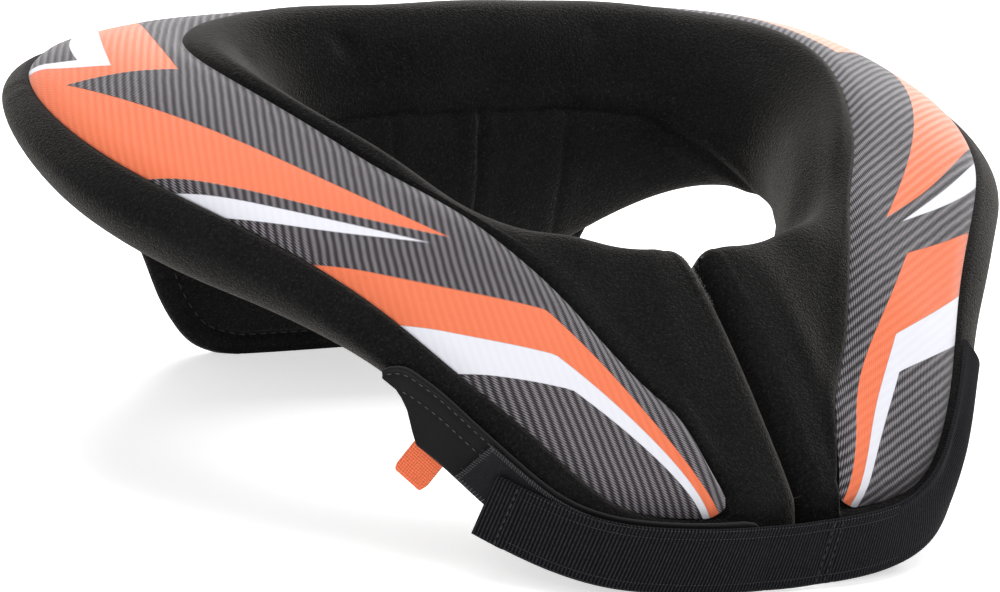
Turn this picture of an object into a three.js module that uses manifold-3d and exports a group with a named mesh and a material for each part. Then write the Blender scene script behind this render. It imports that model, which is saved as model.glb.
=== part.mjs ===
import * as THREE from 'three';
import Module from 'manifold-3d';

// A soft riding collar: a foam horseshoe round the neck, split at the front and closed by a strap.
// Millimetres, +Z up, the front faces -Y, the wearer's left is +X, the floor is z = 0.

// The neck opening's middle lies this far behind the middle of the whole.
const HOLE_Y = -6.6;

// The split between the two front ends: half its width, how far its middle lies askew at the
// neck and at the chest, and the angle from the front by which the arms are even again.
const SPLIT_HALF = 0.75;
const SKEW_AT_CREST = -3.2;
const SKEW_AT_RIM = 7.0;
const EVEN_AT_CREST = 24;
const EVEN_AT_RIM = 9.5;
const CREST_REACH = 58;
const RIM_REACH = 115;
const END_ROUND = 7;
const END_ANGLE = 4;
const SWEEP_ANGLE = 14;

// The collar's cover: roll at the crest, rounding under the rim, crown of the panel's face.
const WALL_UP = 0.3;
const SLOPE_OUT = 0.22;
const SLOPE_UP = 0.66;
const SHOULDER_OUT = 0.62;
const SHOULDER_DROP = 5;
const FOOT_ROUND = 6;
const HEEL_IN = 8;
const CROWN_SHARE = 0.055;
const UNDER_ARCH = 3;
const SPAN_STEPS = 4;

// One row to each section round the neck, by its angle from the front in degrees.
// wallR, footZ: inner wall and its lower edge; crestR, crestZ: top of the roll;
// inR, inZ and outR, outZ: inner and outer edges of the printed panel;
// rimR, rimZ: widest line of the rim; heelZ: the rim's lower edge, pressed flat where it meets the floor.
const COLUMNS = [
  'angle', 'wallR', 'footZ', 'crestR', 'crestZ', 'inR', 'inZ', 'outR', 'outZ', 'rimR', 'rimZ', 'heelZ',
];
const SECTIONS = [
  [4, 46, 20, 60, 78.5, 112, 25, 114, 19.5, 115, 11, -2.5],
  [9, 46, 20, 60, 79, 111.5, 26, 114.2, 19.5, 116.5, 11, -2.5],
  [13, 46, 21, 60, 79, 102.5, 38.5, 114.4, 19.5, 117.5, 11, -2.5],
  [18, 46, 22, 60, 79, 94.5, 47, 115, 20, 118.3, 11.5, -2],
  [25, 47, 25, 60, 79.5, 88, 56, 116.3, 23.5, 119.5, 14, 2],
  [35, 48, 33, 62, 81.5, 80.5, 68, 113, 36.5, 117, 26, 14],
  [46, 50, 42, 65, 82, 75.5, 77, 108.5, 48.5, 113, 38, 29],
  [60, 52, 52, 68, 85.2, 73.5, 85, 107.7, 62.5, 113.5, 53, 46],
  [78, 57, 60, 74, 94.2, 79.5, 92.5, 119, 77, 126.3, 69, 58],
  [95, 66, 63, 86, 102, 91, 100.8, 138.6, 86.5, 147.3, 78.5, 66.5],
  [110, 78, 67, 100, 108, 106, 106.5, 152.5, 92.6, 160.6, 86, 75.5],
  [125, 83, 65.5, 108, 111, 118, 109, 160, 96.8, 166, 90.5, 81.5],
  [145, 73, 51, 96, 113.6, 110, 110, 147, 95, 153, 87, 77],
  [165, 62, 38, 81, 115.3, 95, 111, 131, 90, 137, 82, 65],
  [180, 60, 35, 78, 115.5, 92, 111, 127, 88, 133, 80, 62],
];

// Cloth gaps and thicknesses.
const GAP = 0.3;
const PANEL_THICK = 1.2;
const PANEL_TIP_ANGLE = 9.5;

// The strap: ribbed webbing; rows give its middle line, by angle, height and clearance from the rim.
const STRAP_WIDE = 18;
const STRAP_THICK = 1.6;
const STRAP_FROM = -41.5;
const STRAP_TO = 51;
const STRAP_PATH = [
  { angle: -41.5, z: 20.3, out: 4.3 },
  { angle: -34, z: 15.6, out: 4.3 },
  { angle: -26, z: 12, out: 4.3 },
  { angle: -12, z: 10, out: 3.4 },
  { angle: 0, z: 9.6, out: 2.9 },
  { angle: 12, z: 11, out: 2.2 },
  { angle: 22, z: 14.5, out: 1.2 },
  { angle: 32, z: 25, out: 0.9 },
  { angle: 42, z: 35.5, out: 0.8 },
  { angle: 51, z: 44, out: 0.8 },
];

// The thin base patch along the wearer's right front arm, and the fastening patch on it.
const ANCHOR_WIDE = 18.5;
const ANCHOR_THICK = 1.5;
const ANCHOR_FROM = -55;
const ANCHOR_TO = -7;
const ANCHOR_PATH = [
  { angle: -55, z: 42.5, out: 0.8 },
  { angle: -50, z: 38, out: 0.8 },
  { angle: -45, z: 32, out: 0.8 },
  { angle: -39, z: 24.5, out: 0.8 },
  { angle: -32, z: 16.2, out: 0.8 },
  { angle: -22, z: 11.4, out: 0.8 },
  { angle: -7, z: 10.6, out: 1.2 },
];
const LOOP_WIDE = 16;
const LOOP_THICK = 1;
const LOOP_FROM = -46;
const LOOP_TO = -27;
const LOOP_OUT = 2.8;
const PATH_STEPS = 24;

// The folded orange tab: two layers of webbing under the base patch.
const TAB_ANGLE = -49.5;
const TAB_WIDE = 10;
const TAB_LONG = 15;
const TAB_LAYER = 1.2;
const TAB_FOLD_GAP = 0.8;
const TAB_TOP_Z = 33;
const TAB_SLOPE = 0.62;
const TAB_SET = 0.1;
const TAB_FOLD_STEPS = 6;

// The padded flap under the back: rows from its foot upwards.
const FLAP_Y = 119;
const FLAP_LEAN = 0.02;
const FLAP_THICK = 10;
const FLAP_ROWS = [
  { z: -1.5, half: 42, thick: 0.6 },
  { z: 1.0, half: 52, thick: 0.8 },
  { z: 4.0, half: 58, thick: 0.92 },
  { z: 9, half: 63, thick: 1.0 },
  { z: 17, half: 68.5, thick: 1.0 },
  { z: 28, half: 74, thick: 1.0 },
  { z: 43, half: 81.5, thick: 1.0 },
  { z: 83, half: 87, thick: 1.0 },
];
const FLAP_SIDE_STEPS = 14;
const FLAP_END_POWER = 0.6;
const FLAP_FACE_POWER = 0.35;

const CLOTH_BLACK = 0x1e1e20;
const PANEL_GREY = 0x6a666c;
const WEBBING_BLACK = 0x141417;
const TAB_ORANGE = 0xf37346;

const rad = (deg) => (deg * Math.PI) / 180;
const lerp = (a, b, t) => a + (b - a) * t;

// Natural cubic through (x, y) pairs.
function cubic(xs, ys) {
  const n = xs.length;
  const m = new Array(n).fill(0);
  const c = new Array(n).fill(0);
  const d = new Array(n).fill(0);
  for (let i = 1; i < n - 1; i += 1) {
    const h0 = xs[i] - xs[i - 1];
    const h1 = xs[i + 1] - xs[i];
    const rhs = 6 * ((ys[i + 1] - ys[i]) / h1 - (ys[i] - ys[i - 1]) / h0);
    const p = 2 * (h0 + h1) - h0 * c[i - 1];
    c[i] = h1 / p;
    d[i] = (rhs - h0 * d[i - 1]) / p;
  }
  for (let i = n - 2; i > 0; i -= 1) m[i] = d[i] - c[i] * m[i + 1];
  return (x) => {
    let i = 0;
    while (i < n - 2 && x > xs[i + 1]) i += 1;
    const h = xs[i + 1] - xs[i];
    const a = (xs[i + 1] - x) / h;
    const b = (x - xs[i]) / h;
    return a * ys[i] + b * ys[i + 1] + (((a ** 3 - a) * m[i] + (b ** 3 - b) * m[i + 1]) * h * h) / 6;
  };
}

// Each column of the sections as a curve over the angle, even about the back.
const curves = {};
COLUMNS.slice(1).forEach((name, k) => {
  const there = SECTIONS.map((row) => [row[0], row[k + 1]]);
  const back = there.slice(0, -1).reverse().map(([a, v]) => [360 - a, v]);
  const all = there.concat(back);
  curves[name] = cubic(all.map((p) => p[0]), all.map((p) => p[1]));
});
const at = (name, angle) => curves[name](Math.abs(angle));

// Key points (reach, height) of one section, from the inner foot over the crest to the heel.
function sectionKeys(angle) {
  const v = {};
  COLUMNS.slice(1).forEach((name) => { v[name] = at(name, angle); });
  const crown = new THREE.Vector2(v.outR - v.inR, v.outZ - v.inZ).multiplyScalar(CROWN_SHARE);
  const inner = (out, up) => [lerp(v.wallR, v.crestR, out), lerp(v.footZ, v.crestZ, up)];
  return [
    [v.wallR + FOOT_ROUND, v.footZ],
    inner(0, WALL_UP),
    inner(SLOPE_OUT, SLOPE_UP),
    [lerp(v.wallR, v.crestR, SHOULDER_OUT), v.crestZ - SHOULDER_DROP],
    [v.crestR, v.crestZ],
    [v.inR, v.inZ],
    [(v.inR + v.outR) / 2 - crown.y, (v.inZ + v.outZ) / 2 + crown.x],
    [v.outR, v.outZ],
    [v.rimR, v.rimZ],
    [v.rimR - HEEL_IN, v.heelZ],
    [(v.wallR + v.rimR) / 2, (v.footZ + v.heelZ) / 2 + UNDER_ARCH],
  ].map((p) => new THREE.Vector2(p[0], p[1]));
}
const KEY_IN = 5;
const KEY_OUT = 7;

// Closed centripetal curve through the key points.
function closedCurve(keys, steps) {
  const n = keys.length;
  const out = [];
  for (let i = 0; i < n; i += 1) {
    const p = [-1, 0, 1, 2].map((k) => keys[(i + k + n) % n]);
    const t = [0];
    for (let k = 0; k < 3; k += 1) t.push(t[k] + Math.sqrt(p[k].distanceTo(p[k + 1])));
    const mix = (a, b, ta, tb, s) => a.clone().lerp(b, (s - ta) / (tb - ta));
    for (let k = 0; k < steps; k += 1) {
      const s = lerp(t[1], t[2], k / steps);
      const a1 = mix(p[0], p[1], t[0], t[1], s);
      const a2 = mix(p[1], p[2], t[1], t[2], s);
      const a3 = mix(p[2], p[3], t[2], t[3], s);
      const b1 = mix(a1, a2, t[0], t[2], s);
      const b2 = mix(a2, a3, t[1], t[3], s);
      out.push(mix(b1, b2, t[1], t[2], s));
    }
  }
  return out;
}

// Moves a closed section outwards by a distance (inwards when negative).
function grown(points, by) {
  const n = points.length;
  return points.map((p, i) => {
    const along = points[(i + 1) % n].clone().sub(points[(i + n - 1) % n]).normalize();
    return new THREE.Vector2(p.x - along.y * by, p.y + along.x * by);
  });
}

// Places a section point in space; the front ends are cut along the split.
function place(p, angle, endShift) {
  const side = angle > 180 ? -1 : 1;
  const a = angle > 180 ? 360 - angle : angle;
  let x = p.x * Math.sin(rad(a));
  if (a < SWEEP_ANGLE) {
    const start = SPLIT_HALF + endShift;
    x = lerp(start, p.x * Math.sin(rad(SWEEP_ANGLE)), (a - END_ANGLE) / (SWEEP_ANGLE - END_ANGLE));
  }
  const share = Math.min(Math.max((p.x - CREST_REACH) / (RIM_REACH - CREST_REACH), 0), 1);
  const even = lerp(EVEN_AT_CREST, EVEN_AT_RIM, share);
  const skew = lerp(SKEW_AT_CREST, SKEW_AT_RIM, share);
  x += side * skew * Math.max(0, 1 - (a - END_ANGLE) / (even - END_ANGLE));
  const y = Math.cos(rad(a)) >= 0 ? -Math.sqrt(p.x * p.x - x * x) : Math.sqrt(p.x * p.x - x * x);
  return new THREE.Vector3(side * x, y + HOLE_Y, Math.max(p.y, 0));
}

// Closed solid from rows of points; each row is a ring. An end is closed by a fan about its middle,
// or, for a thin ring made of two facing lines, by a strip between them.
function ringSolid(rows, thin) {
  const n = rows[0].length;
  const points = rows.flat();
  const index = [];
  for (let i = 0; i < rows.length - 1; i += 1) {
    for (let j = 0; j < n; j += 1) {
      const a = i * n + j;
      const b = i * n + ((j + 1) % n);
      index.push(a, a + n, b + n, a, b + n, b);
    }
  }
  const close = (row, first) => {
    const base = row * n;
    const face = (a, b, c) => (first ? index.push(a, b, c) : index.push(a, c, b));
    if (thin) {
      for (let j = 0; j < n / 2 - 1; j += 1) {
        face(base + j, base + j + 1, base + n - 1 - j);
        face(base + j + 1, base + n - 2 - j, base + n - 1 - j);
      }
      return;
    }
    const middle = new THREE.Vector3();
    rows[row].forEach((p) => middle.addScaledVector(p, 1 / n));
    points.push(middle);
    for (let j = 0; j < n; j += 1) face(base + j, base + ((j + 1) % n), points.length - 1);
  };
  close(0, true);
  close(rows.length - 1, false);
  let volume = 0;
  for (let i = 0; i < index.length; i += 3) {
    volume += points[index[i]].dot(points[index[i + 1]].clone().cross(points[index[i + 2]]));
  }
  if (volume < 0) index.reverse();
  return { points, index };
}

const wasm = await Module();
wasm.setup();

function toManifold({ points, index }) {
  const vertProperties = new Float32Array(points.flatMap((p) => [p.x, p.y, p.z]));
  return new wasm.Manifold(new wasm.Mesh({ numProp: 3, vertProperties, triVerts: new Uint32Array(index) }));
}

function fromManifold(solid) {
  const mesh = solid.getMesh();
  const geometry = new THREE.BufferGeometry();
  geometry.setAttribute('position', new THREE.BufferAttribute(Float32Array.from(mesh.vertProperties), 3));
  geometry.setIndex(Array.from(mesh.triVerts));
  return geometry;
}

// Stations round the collar: close together at the front ends, even elsewhere.
const END_STEPS = [[0, 0.97], [0.14, 0.49], [0.42, 0.185], [1, 0]];
const SWEEP_STATIONS = [5.5, 7, 8.2, 9.5, 11, 12.5];
const EVEN_STATIONS = 25;

function halfStations() {
  const list = [...SWEEP_STATIONS];
  for (let i = 0; i <= EVEN_STATIONS; i += 1) list.push(lerp(SWEEP_ANGLE + 1, 180, i / EVEN_STATIONS));
  return list;
}

function collarRows(growth) {
  const half = halfStations();
  const angles = half.concat(half.slice(0, -1).reverse().map((a) => 360 - a));
  const body = angles.map((angle) => {
    const ring = grown(closedCurve(sectionKeys(Math.min(angle, 360 - angle)), SPAN_STEPS), growth);
    return ring.map((p) => place(p, angle, END_ROUND));
  });
  const end = closedCurve(sectionKeys(END_ANGLE), SPAN_STEPS);
  const endRows = (angle) => END_STEPS.map(([along, inset]) => {
    const ring = grown(end, growth - inset * END_ROUND);
    return ring.map((p) => place(p, angle, along * END_ROUND - growth));
  });
  return [...endRows(END_ANGLE), ...body, ...endRows(360 - END_ANGLE).reverse()];
}

// The printed panel lies on the collar's outer face as a thin shell with both ends drawn to a tip.
function panelSolid() {
  const half = halfStations().filter((a) => a >= PANEL_TIP_ANGLE);
  const angles = half.concat(half.slice(0, -1).reverse().map((a) => 360 - a));
  const rows = angles.map((angle) => {
    const ring = closedCurve(sectionKeys(Math.min(angle, 360 - angle)), SPAN_STEPS);
    const cut = (by) => grown(ring, by)
      .slice(KEY_IN * SPAN_STEPS, KEY_OUT * SPAN_STEPS + 1)
      .map((p) => place(p, angle, END_ROUND));
    return cut(GAP + PANEL_THICK).concat(cut(GAP).reverse());
  });
  return ringSolid(rows, true);
}

// A flat band along the rim: rows give its middle line. Its ends are cut square to the line or upright.
function bandSolid(path, from, to, out, wide, thick, upright) {
  const xs = path.map((p) => p.angle);
  const height = cubic(xs, path.map((p) => p.z));
  const clear = cubic(xs, path.map((p) => p.out));
  const middle = (angle) => {
    const reach = at('rimR', Math.max(Math.abs(angle), END_ANGLE)) + (out ?? clear(angle));
    return new THREE.Vector3(
      reach * Math.sin(rad(angle)), HOLE_Y - reach * Math.cos(rad(angle)), height(angle),
    );
  };
  const rows = [];
  for (let i = 0; i <= PATH_STEPS; i += 1) {
    const angle = lerp(from, to, i / PATH_STEPS);
    const c = middle(angle);
    const along = middle(angle + 0.5).sub(middle(angle - 0.5)).normalize();
    const face = new THREE.Vector3(along.y, -along.x, 0).normalize();
    const up = upright ? new THREE.Vector3(0, 0, 1) : face.clone().cross(along).normalize();
    const corner = (u, f) => {
      const p = c.clone().addScaledVector(up, u * wide).addScaledVector(face, f * thick);
      return new THREE.Vector3(p.x, p.y, Math.max(p.z, GAP));
    };
    rows.push([corner(-0.5, 0), corner(-0.5, 1), corner(0.5, 1), corner(0.5, 0)]);
  }
  return ringSolid(rows, true);
}

// The flap: rounded cross rows, stacked upwards, cut to the collar's underside.
function flapSolid() {
  const rows = FLAP_ROWS.map((row) => {
    const ring = [];
    const half = row.half;
    const thick = (row.thick * FLAP_THICK) / 2;
    for (let k = 0; k < 2 * FLAP_SIDE_STEPS; k += 1) {
      const t = (k / FLAP_SIDE_STEPS) * Math.PI;
      const c = Math.cos(t);
      const s = Math.sin(t);
      const x = half * Math.sign(c) * Math.abs(c) ** FLAP_END_POWER;
      const y = thick * Math.sign(s) * Math.abs(s) ** FLAP_FACE_POWER;
      const lean = FLAP_LEAN * row.z;
      ring.push(new THREE.Vector3(x, FLAP_Y + HOLE_Y + lean + y, Math.max(row.z, 0)));
    }
    return ring;
  });
  return ringSolid(rows.reverse());
}

// The tab: one strip folded at its foot, hung behind the base patch's lower edge.
function tabSolid() {
  const reach = at('rimR', TAB_ANGLE);
  const deep = 2 * TAB_LAYER + TAB_FOLD_GAP;
  const inner = TAB_FOLD_GAP / 2;
  const fold = (half) => {
    const line = [[-half, 0]];
    for (let k = 0; k <= TAB_FOLD_STEPS; k += 1) {
      const t = Math.PI * (k / TAB_FOLD_STEPS);
      line.push([-half * Math.cos(t), -TAB_LONG + deep / 2 - half * Math.sin(t)]);
    }
    line.push([half, 0]);
    return line;
  };
  const outline = fold(deep / 2).concat(fold(inner).reverse());
  const a = rad(TAB_ANGLE);
  const face = new THREE.Vector3(Math.sin(a), -Math.cos(a), 0);
  const flat = new THREE.Vector3(-face.y, face.x, 0);
  const along = flat.clone().add(new THREE.Vector3(0, 0, -TAB_SLOPE)).normalize();
  const down = along.clone().cross(face).normalize();
  if (down.z > 0) down.negate();
  const top = face.clone().multiplyScalar(reach - deep / 2 + TAB_SET);
  top.z = TAB_TOP_Z;
  top.y += HOLE_Y;
  const rows = [-0.5, 0.5].map((w) => outline.map(([f, u]) => top.clone()
    .addScaledVector(along, w * TAB_WIDE)
    .addScaledVector(face, f)
    .addScaledVector(down, -u)));
  return ringSolid(rows, true);
}

const part = new THREE.Group();
part.name = 'neck_brace';

function add(name, geometry, colour, roughness) {
  const material = new THREE.MeshStandardMaterial({ color: colour, roughness, metalness: 0 });
  const mesh = new THREE.Mesh(geometry, material);
  mesh.name = name;
  part.add(mesh);
}

const collar = toManifold(ringSolid(collarRows(0)));
const clearance = toManifold(ringSolid(collarRows(GAP)));
const flap = toManifold(flapSolid()).subtract(clearance);

add('collar', fromManifold(collar), CLOTH_BLACK, 0.95);
add('printed_panel', fromManifold(toManifold(panelSolid())), PANEL_GREY, 0.7);
add('back_flap', fromManifold(flap), CLOTH_BLACK, 0.95);
const anchor = bandSolid(ANCHOR_PATH, ANCHOR_FROM, ANCHOR_TO, null, ANCHOR_WIDE, ANCHOR_THICK, true);
add('strap_anchor', fromManifold(toManifold(anchor)), CLOTH_BLACK, 0.9);
const loop = bandSolid(ANCHOR_PATH, LOOP_FROM, LOOP_TO, LOOP_OUT, LOOP_WIDE, LOOP_THICK, true);
add('loop_patch', fromManifold(toManifold(loop)), CLOTH_BLACK, 1);
add('pull_tab', fromManifold(toManifold(tabSolid())), TAB_ORANGE, 0.8);
const strap = bandSolid(STRAP_PATH, STRAP_FROM, STRAP_TO, null, STRAP_WIDE, STRAP_THICK, false);
add('strap', fromManifold(toManifold(strap)), WEBBING_BLACK, 0.75);

export default part;
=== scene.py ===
import math

import bpy
import numpy as np
from mathutils import Matrix
from mathutils.bvhtree import BVHTree

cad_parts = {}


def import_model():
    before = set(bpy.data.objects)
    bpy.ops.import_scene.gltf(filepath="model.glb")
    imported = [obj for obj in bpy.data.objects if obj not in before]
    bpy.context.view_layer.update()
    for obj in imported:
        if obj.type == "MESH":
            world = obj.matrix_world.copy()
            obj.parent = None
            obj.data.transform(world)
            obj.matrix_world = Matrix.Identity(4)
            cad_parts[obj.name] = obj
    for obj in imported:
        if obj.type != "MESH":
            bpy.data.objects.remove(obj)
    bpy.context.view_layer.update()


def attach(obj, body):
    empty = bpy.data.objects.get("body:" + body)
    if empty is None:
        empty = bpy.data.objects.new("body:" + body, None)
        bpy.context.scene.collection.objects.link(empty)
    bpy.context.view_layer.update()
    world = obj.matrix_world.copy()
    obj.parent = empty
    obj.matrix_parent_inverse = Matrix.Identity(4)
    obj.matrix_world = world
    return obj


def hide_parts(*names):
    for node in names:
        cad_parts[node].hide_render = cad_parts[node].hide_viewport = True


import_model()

# COLLAR
# A horseshoe of soft foam round the neck, split at the front. Its cover is brushed black cloth, sewn
# from a lining, a top roll and a rim, and drawn down into a groove all round the printed panel.
MM = 0.001
HOLE_Y = -6.6
SPLIT_HALF, END_ROUND, END_ANGLE, SWEEP_ANGLE = 0.75, 7.0, 4.0, 14.0
CREST_REACH, RIM_REACH = 58.0, 115.0
SKEW_AT_CREST, SKEW_AT_RIM, EVEN_AT_CREST, EVEN_AT_RIM = -3.2, 7.0, 24.0, 9.5
WALL_UP, SLOPE_OUT, SLOPE_UP = 0.3, 0.22, 0.66
SHOULDER_OUT, SHOULDER_DROP = 0.62, 5.0
FOOT_ROUND, HEEL_IN, CROWN_SHARE, UNDER_ARCH = 6.0, 8.0, 0.055, 3.0
SECTION_COLUMNS = "angle wallR footZ crestR crestZ inR inZ outR outZ rimR rimZ heelZ".split()
SECTIONS = [
    [4, 46, 20, 60, 78.5, 112, 25, 114, 19.5, 115, 11, -2.5],
    [9, 46, 20, 60, 79, 111.5, 26, 114.2, 19.5, 116.5, 11, -2.5],
    [13, 46, 21, 60, 79, 102.5, 38.5, 114.4, 19.5, 117.5, 11, -2.5],
    [18, 46, 22, 60, 79, 94.5, 47, 115, 20, 118.3, 11.5, -2],
    [25, 47, 25, 60, 79.5, 88, 56, 116.3, 23.5, 119.5, 14, 2],
    [35, 48, 33, 62, 81.5, 80.5, 68, 113, 36.5, 117, 26, 14],
    [46, 50, 42, 65, 82, 75.5, 77, 108.5, 48.5, 113, 38, 29],
    [60, 52, 52, 68, 85.2, 73.5, 85, 107.7, 62.5, 113.5, 53, 46],
    [78, 57, 60, 74, 94.2, 79.5, 92.5, 119, 77, 126.3, 69, 58],
    [95, 66, 63, 86, 102, 91, 100.8, 138.6, 86.5, 147.3, 78.5, 66.5],
    [110, 78, 67, 100, 108, 106, 106.5, 152.5, 92.6, 160.6, 86, 75.5],
    [125, 83, 65.5, 108, 111, 118, 109, 160, 96.8, 166, 90.5, 81.5],
    [145, 73, 51, 96, 113.6, 110, 110, 147, 95, 153, 87, 77],
    [165, 62, 38, 81, 115.3, 95, 111, 131, 90, 137, 82, 65],
    [180, 60, 35, 78, 115.5, 92, 111, 127, 88, 133, 80, 62],
]
KEYS = 11
KEY_IN, KEY_OUT = 5, 7


def natural_cubic(xs, ys):
    """Smooth curve through a row of points."""
    xs, ys = np.array(xs, float), np.array(ys, float)
    n, h = len(xs), np.diff(xs)
    rows, right = np.eye(n), np.zeros(n)
    for i in range(1, n - 1):
        rows[i, i - 1:i + 2] = h[i - 1], 2 * (h[i - 1] + h[i]), h[i]
        right[i] = 6 * ((ys[i + 1] - ys[i]) / h[i] - (ys[i] - ys[i - 1]) / h[i - 1])
    bend = np.linalg.solve(rows, right)

    def at(x):
        x = np.asarray(x, float)
        i = np.clip(np.searchsorted(xs, x, side="right") - 1, 0, n - 2)
        a, b = (xs[i + 1] - x) / h[i], (x - xs[i]) / h[i]
        return a * ys[i] + b * ys[i + 1] + ((a**3 - a) * bend[i] + (b**3 - b) * bend[i + 1]) * h[i]**2 / 6
    return at


def section_curves():
    """Each column of the section table as a curve over the angle, even about the back."""
    table = np.array(SECTIONS, float)
    angles = np.concatenate([table[:, 0], 360 - table[-2::-1, 0]])
    return {name: natural_cubic(angles, np.concatenate([table[:, k], table[-2::-1, k]]))
            for k, name in enumerate(SECTION_COLUMNS) if k}


CURVES = section_curves()


def section_keys(angle):
    """Key points (reach, height) of a section, from the inner foot over the crest to the heel."""
    v = {name: curve(angle) for name, curve in CURVES.items()}
    crown_r = (v["outR"] - v["inR"]) * CROWN_SHARE
    crown_z = (v["outZ"] - v["inZ"]) * CROWN_SHARE
    wide, tall = v["crestR"] - v["wallR"], v["crestZ"] - v["footZ"]
    points = [
        (v["wallR"] + FOOT_ROUND, v["footZ"]),
        (v["wallR"], v["footZ"] + WALL_UP * tall),
        (v["wallR"] + SLOPE_OUT * wide, v["footZ"] + SLOPE_UP * tall),
        (v["wallR"] + SHOULDER_OUT * wide, v["crestZ"] - SHOULDER_DROP),
        (v["crestR"], v["crestZ"]),
        (v["inR"], v["inZ"]),
        ((v["inR"] + v["outR"]) / 2 - crown_z, (v["inZ"] + v["outZ"]) / 2 + crown_r),
        (v["outR"], v["outZ"]),
        (v["rimR"], v["rimZ"]),
        (v["rimR"] - HEEL_IN, v["heelZ"]),
        ((v["wallR"] + v["rimR"]) / 2, (v["footZ"] + v["heelZ"]) / 2 + UNDER_ARCH),
    ]
    return np.stack([np.stack(p, -1) for p in points], -2)


def cover_points(angle, key):
    """Points (reach, height) on the cover at an angle from the front and a place between key points."""
    angle, key = np.broadcast_arrays(np.asarray(angle, float), np.asarray(key, float))
    keys = section_keys(np.minimum(angle, 360 - angle))
    first = np.floor(key).astype(int)
    near = [np.take_along_axis(keys, ((first + k) % KEYS)[..., None, None], -2)[..., 0, :]
            for k in (-1, 0, 1, 2)]
    knot = [np.zeros(key.shape)]
    for a, b in zip(near, near[1:]):
        knot.append(knot[-1] + np.sqrt(np.linalg.norm(b - a, axis=-1)))
    s = knot[1] + (knot[2] - knot[1]) * (key - first)

    def mix(a, b, i, j):
        return a + (b - a) * ((s - knot[i]) / (knot[j] - knot[i]))[..., None]
    a1, a2, a3 = mix(near[0], near[1], 0, 1), mix(near[1], near[2], 1, 2), mix(near[2], near[3], 2, 3)
    return mix(mix(a1, a2, 0, 2), mix(a2, a3, 1, 3), 1, 2)


def bell(distance, width):
    return np.exp(-(distance / width) ** 2)


def ease(low, high, value):
    t = np.clip((value - low) / (high - low), 0, 1)
    return t * t * (3 - 2 * t)


def in_space(points, angle, shift):
    """Puts section points in space; the front ends are cut along the split, which lies a little askew."""
    folded = np.minimum(angle, 360 - angle)
    side = np.where(angle > 180, -1.0, 1.0)
    reach = points[..., 0]
    start = SPLIT_HALF + shift
    swept = reach * math.sin(math.radians(SWEEP_ANGLE))
    swept = start + (swept - start) * (folded - END_ANGLE) / (SWEEP_ANGLE - END_ANGLE)
    x = np.where(folded < SWEEP_ANGLE, swept, reach * np.sin(np.radians(folded)))
    share = np.clip((reach - CREST_REACH) / (RIM_REACH - CREST_REACH), 0, 1)
    even = EVEN_AT_CREST + (EVEN_AT_RIM - EVEN_AT_CREST) * share
    skew = SKEW_AT_CREST + (SKEW_AT_RIM - SKEW_AT_CREST) * share
    x = x + side * skew * (1 - ease(END_ANGLE, even, folded))
    y = np.where(folded <= 90, -1.0, 1.0) * np.sqrt(reach**2 - x**2)
    return np.stack([side * x, y + HOLE_Y, np.maximum(points[..., 1], 0)], -1)


def half_and_mirror(half):
    """Stations of one side, then of the other, back at the front."""
    return np.concatenate([half, 360 - half[-2::-1]])


def grid_normals(points, closed_across=True):
    """Unit normals of a grid of points, rows along axis 0."""
    along = np.gradient(points, axis=0)
    if closed_across:
        across = np.roll(points, -1, 1) - np.roll(points, 1, 1)
    else:
        across = np.gradient(points, axis=1)
    n = np.cross(across, along)
    return n / np.maximum(np.linalg.norm(n, axis=-1, keepdims=True), 1e-9)


def grid_faces(rows, columns, start=0, closed=True):
    """Faces between neighbouring rows of a grid."""
    i, j = np.meshgrid(np.arange(rows - 1), np.arange(columns if closed else columns - 1), indexing="ij")
    a, b = i * columns + j, i * columns + (j + 1) % columns
    return (np.stack([a, b, b + columns, a + columns], -1).reshape(-1, 4) + start).tolist()


def turned_outwards(points, faces):
    """Faces of a closed form, reversed where it is inside out."""
    first = np.array([f[:3] for f in faces if len(f) == 3] + [f[:3] for f in faces if len(f) == 4]
                     + [[f[0], f[2], f[3]] for f in faces if len(f) == 4])
    p = points[first]
    volume = np.einsum("ij,ij->i", p[:, 0], np.cross(p[:, 1], p[:, 2])).sum()
    return faces if volume > 0 else [f[::-1] for f in faces]


def new_piece(name, points, faces, material):
    """A smooth mesh object at the origin, from points in millimetres."""
    mesh = bpy.data.meshes.new(name)
    mesh.from_pydata((np.asarray(points) * MM).tolist(), [], faces)
    mesh.polygons.foreach_set("use_smooth", np.ones(len(mesh.polygons), bool))
    mesh.materials.append(material)
    mesh.validate()
    piece = bpy.data.objects.new(name, mesh)
    bpy.context.collection.objects.link(piece)
    return piece


def new_material(name):
    material = bpy.data.materials.new(name)
    material.use_nodes = True
    return material, material.node_tree, material.node_tree.nodes["Principled BSDF"]


def add_node(tree, kind, inputs=None, **settings):
    """A node with its settings made and its inputs set or linked."""
    node = tree.nodes.new(kind)
    for name, value in settings.items():
        setattr(node, name, value)
    for name, value in (inputs or {}).items():
        if isinstance(value, bpy.types.NodeSocket):
            tree.links.new(value, node.inputs[name])
        else:
            node.inputs[name].default_value = value
    return node


def from_node(tree, kind, inputs=None, **settings):
    """The first output of such a node."""
    return add_node(tree, kind, inputs, **settings).outputs[0]


def calc(tree, operation, *values):
    return from_node(tree, "ShaderNodeMath", dict(enumerate(values)), operation=operation)


def blended(tree, share, low, high):
    """Colour between two, by a share from 0 to 1."""
    node = add_node(tree, "ShaderNodeMix", data_type="RGBA")
    for socket, value in ((node.inputs[0], share), (node.inputs[6], low), (node.inputs[7], high)):
        if isinstance(value, bpy.types.NodeSocket):
            tree.links.new(value, socket)
        else:
            socket.default_value = value
    return node.outputs[2]


def noise(tree, coords, scale, detail=2.0, rough=0.5):
    inputs = {"Vector": coords, "Scale": scale, "Detail": detail, "Roughness": rough}
    return add_node(tree, "ShaderNodeTexNoise", inputs).outputs["Fac"]


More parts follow.
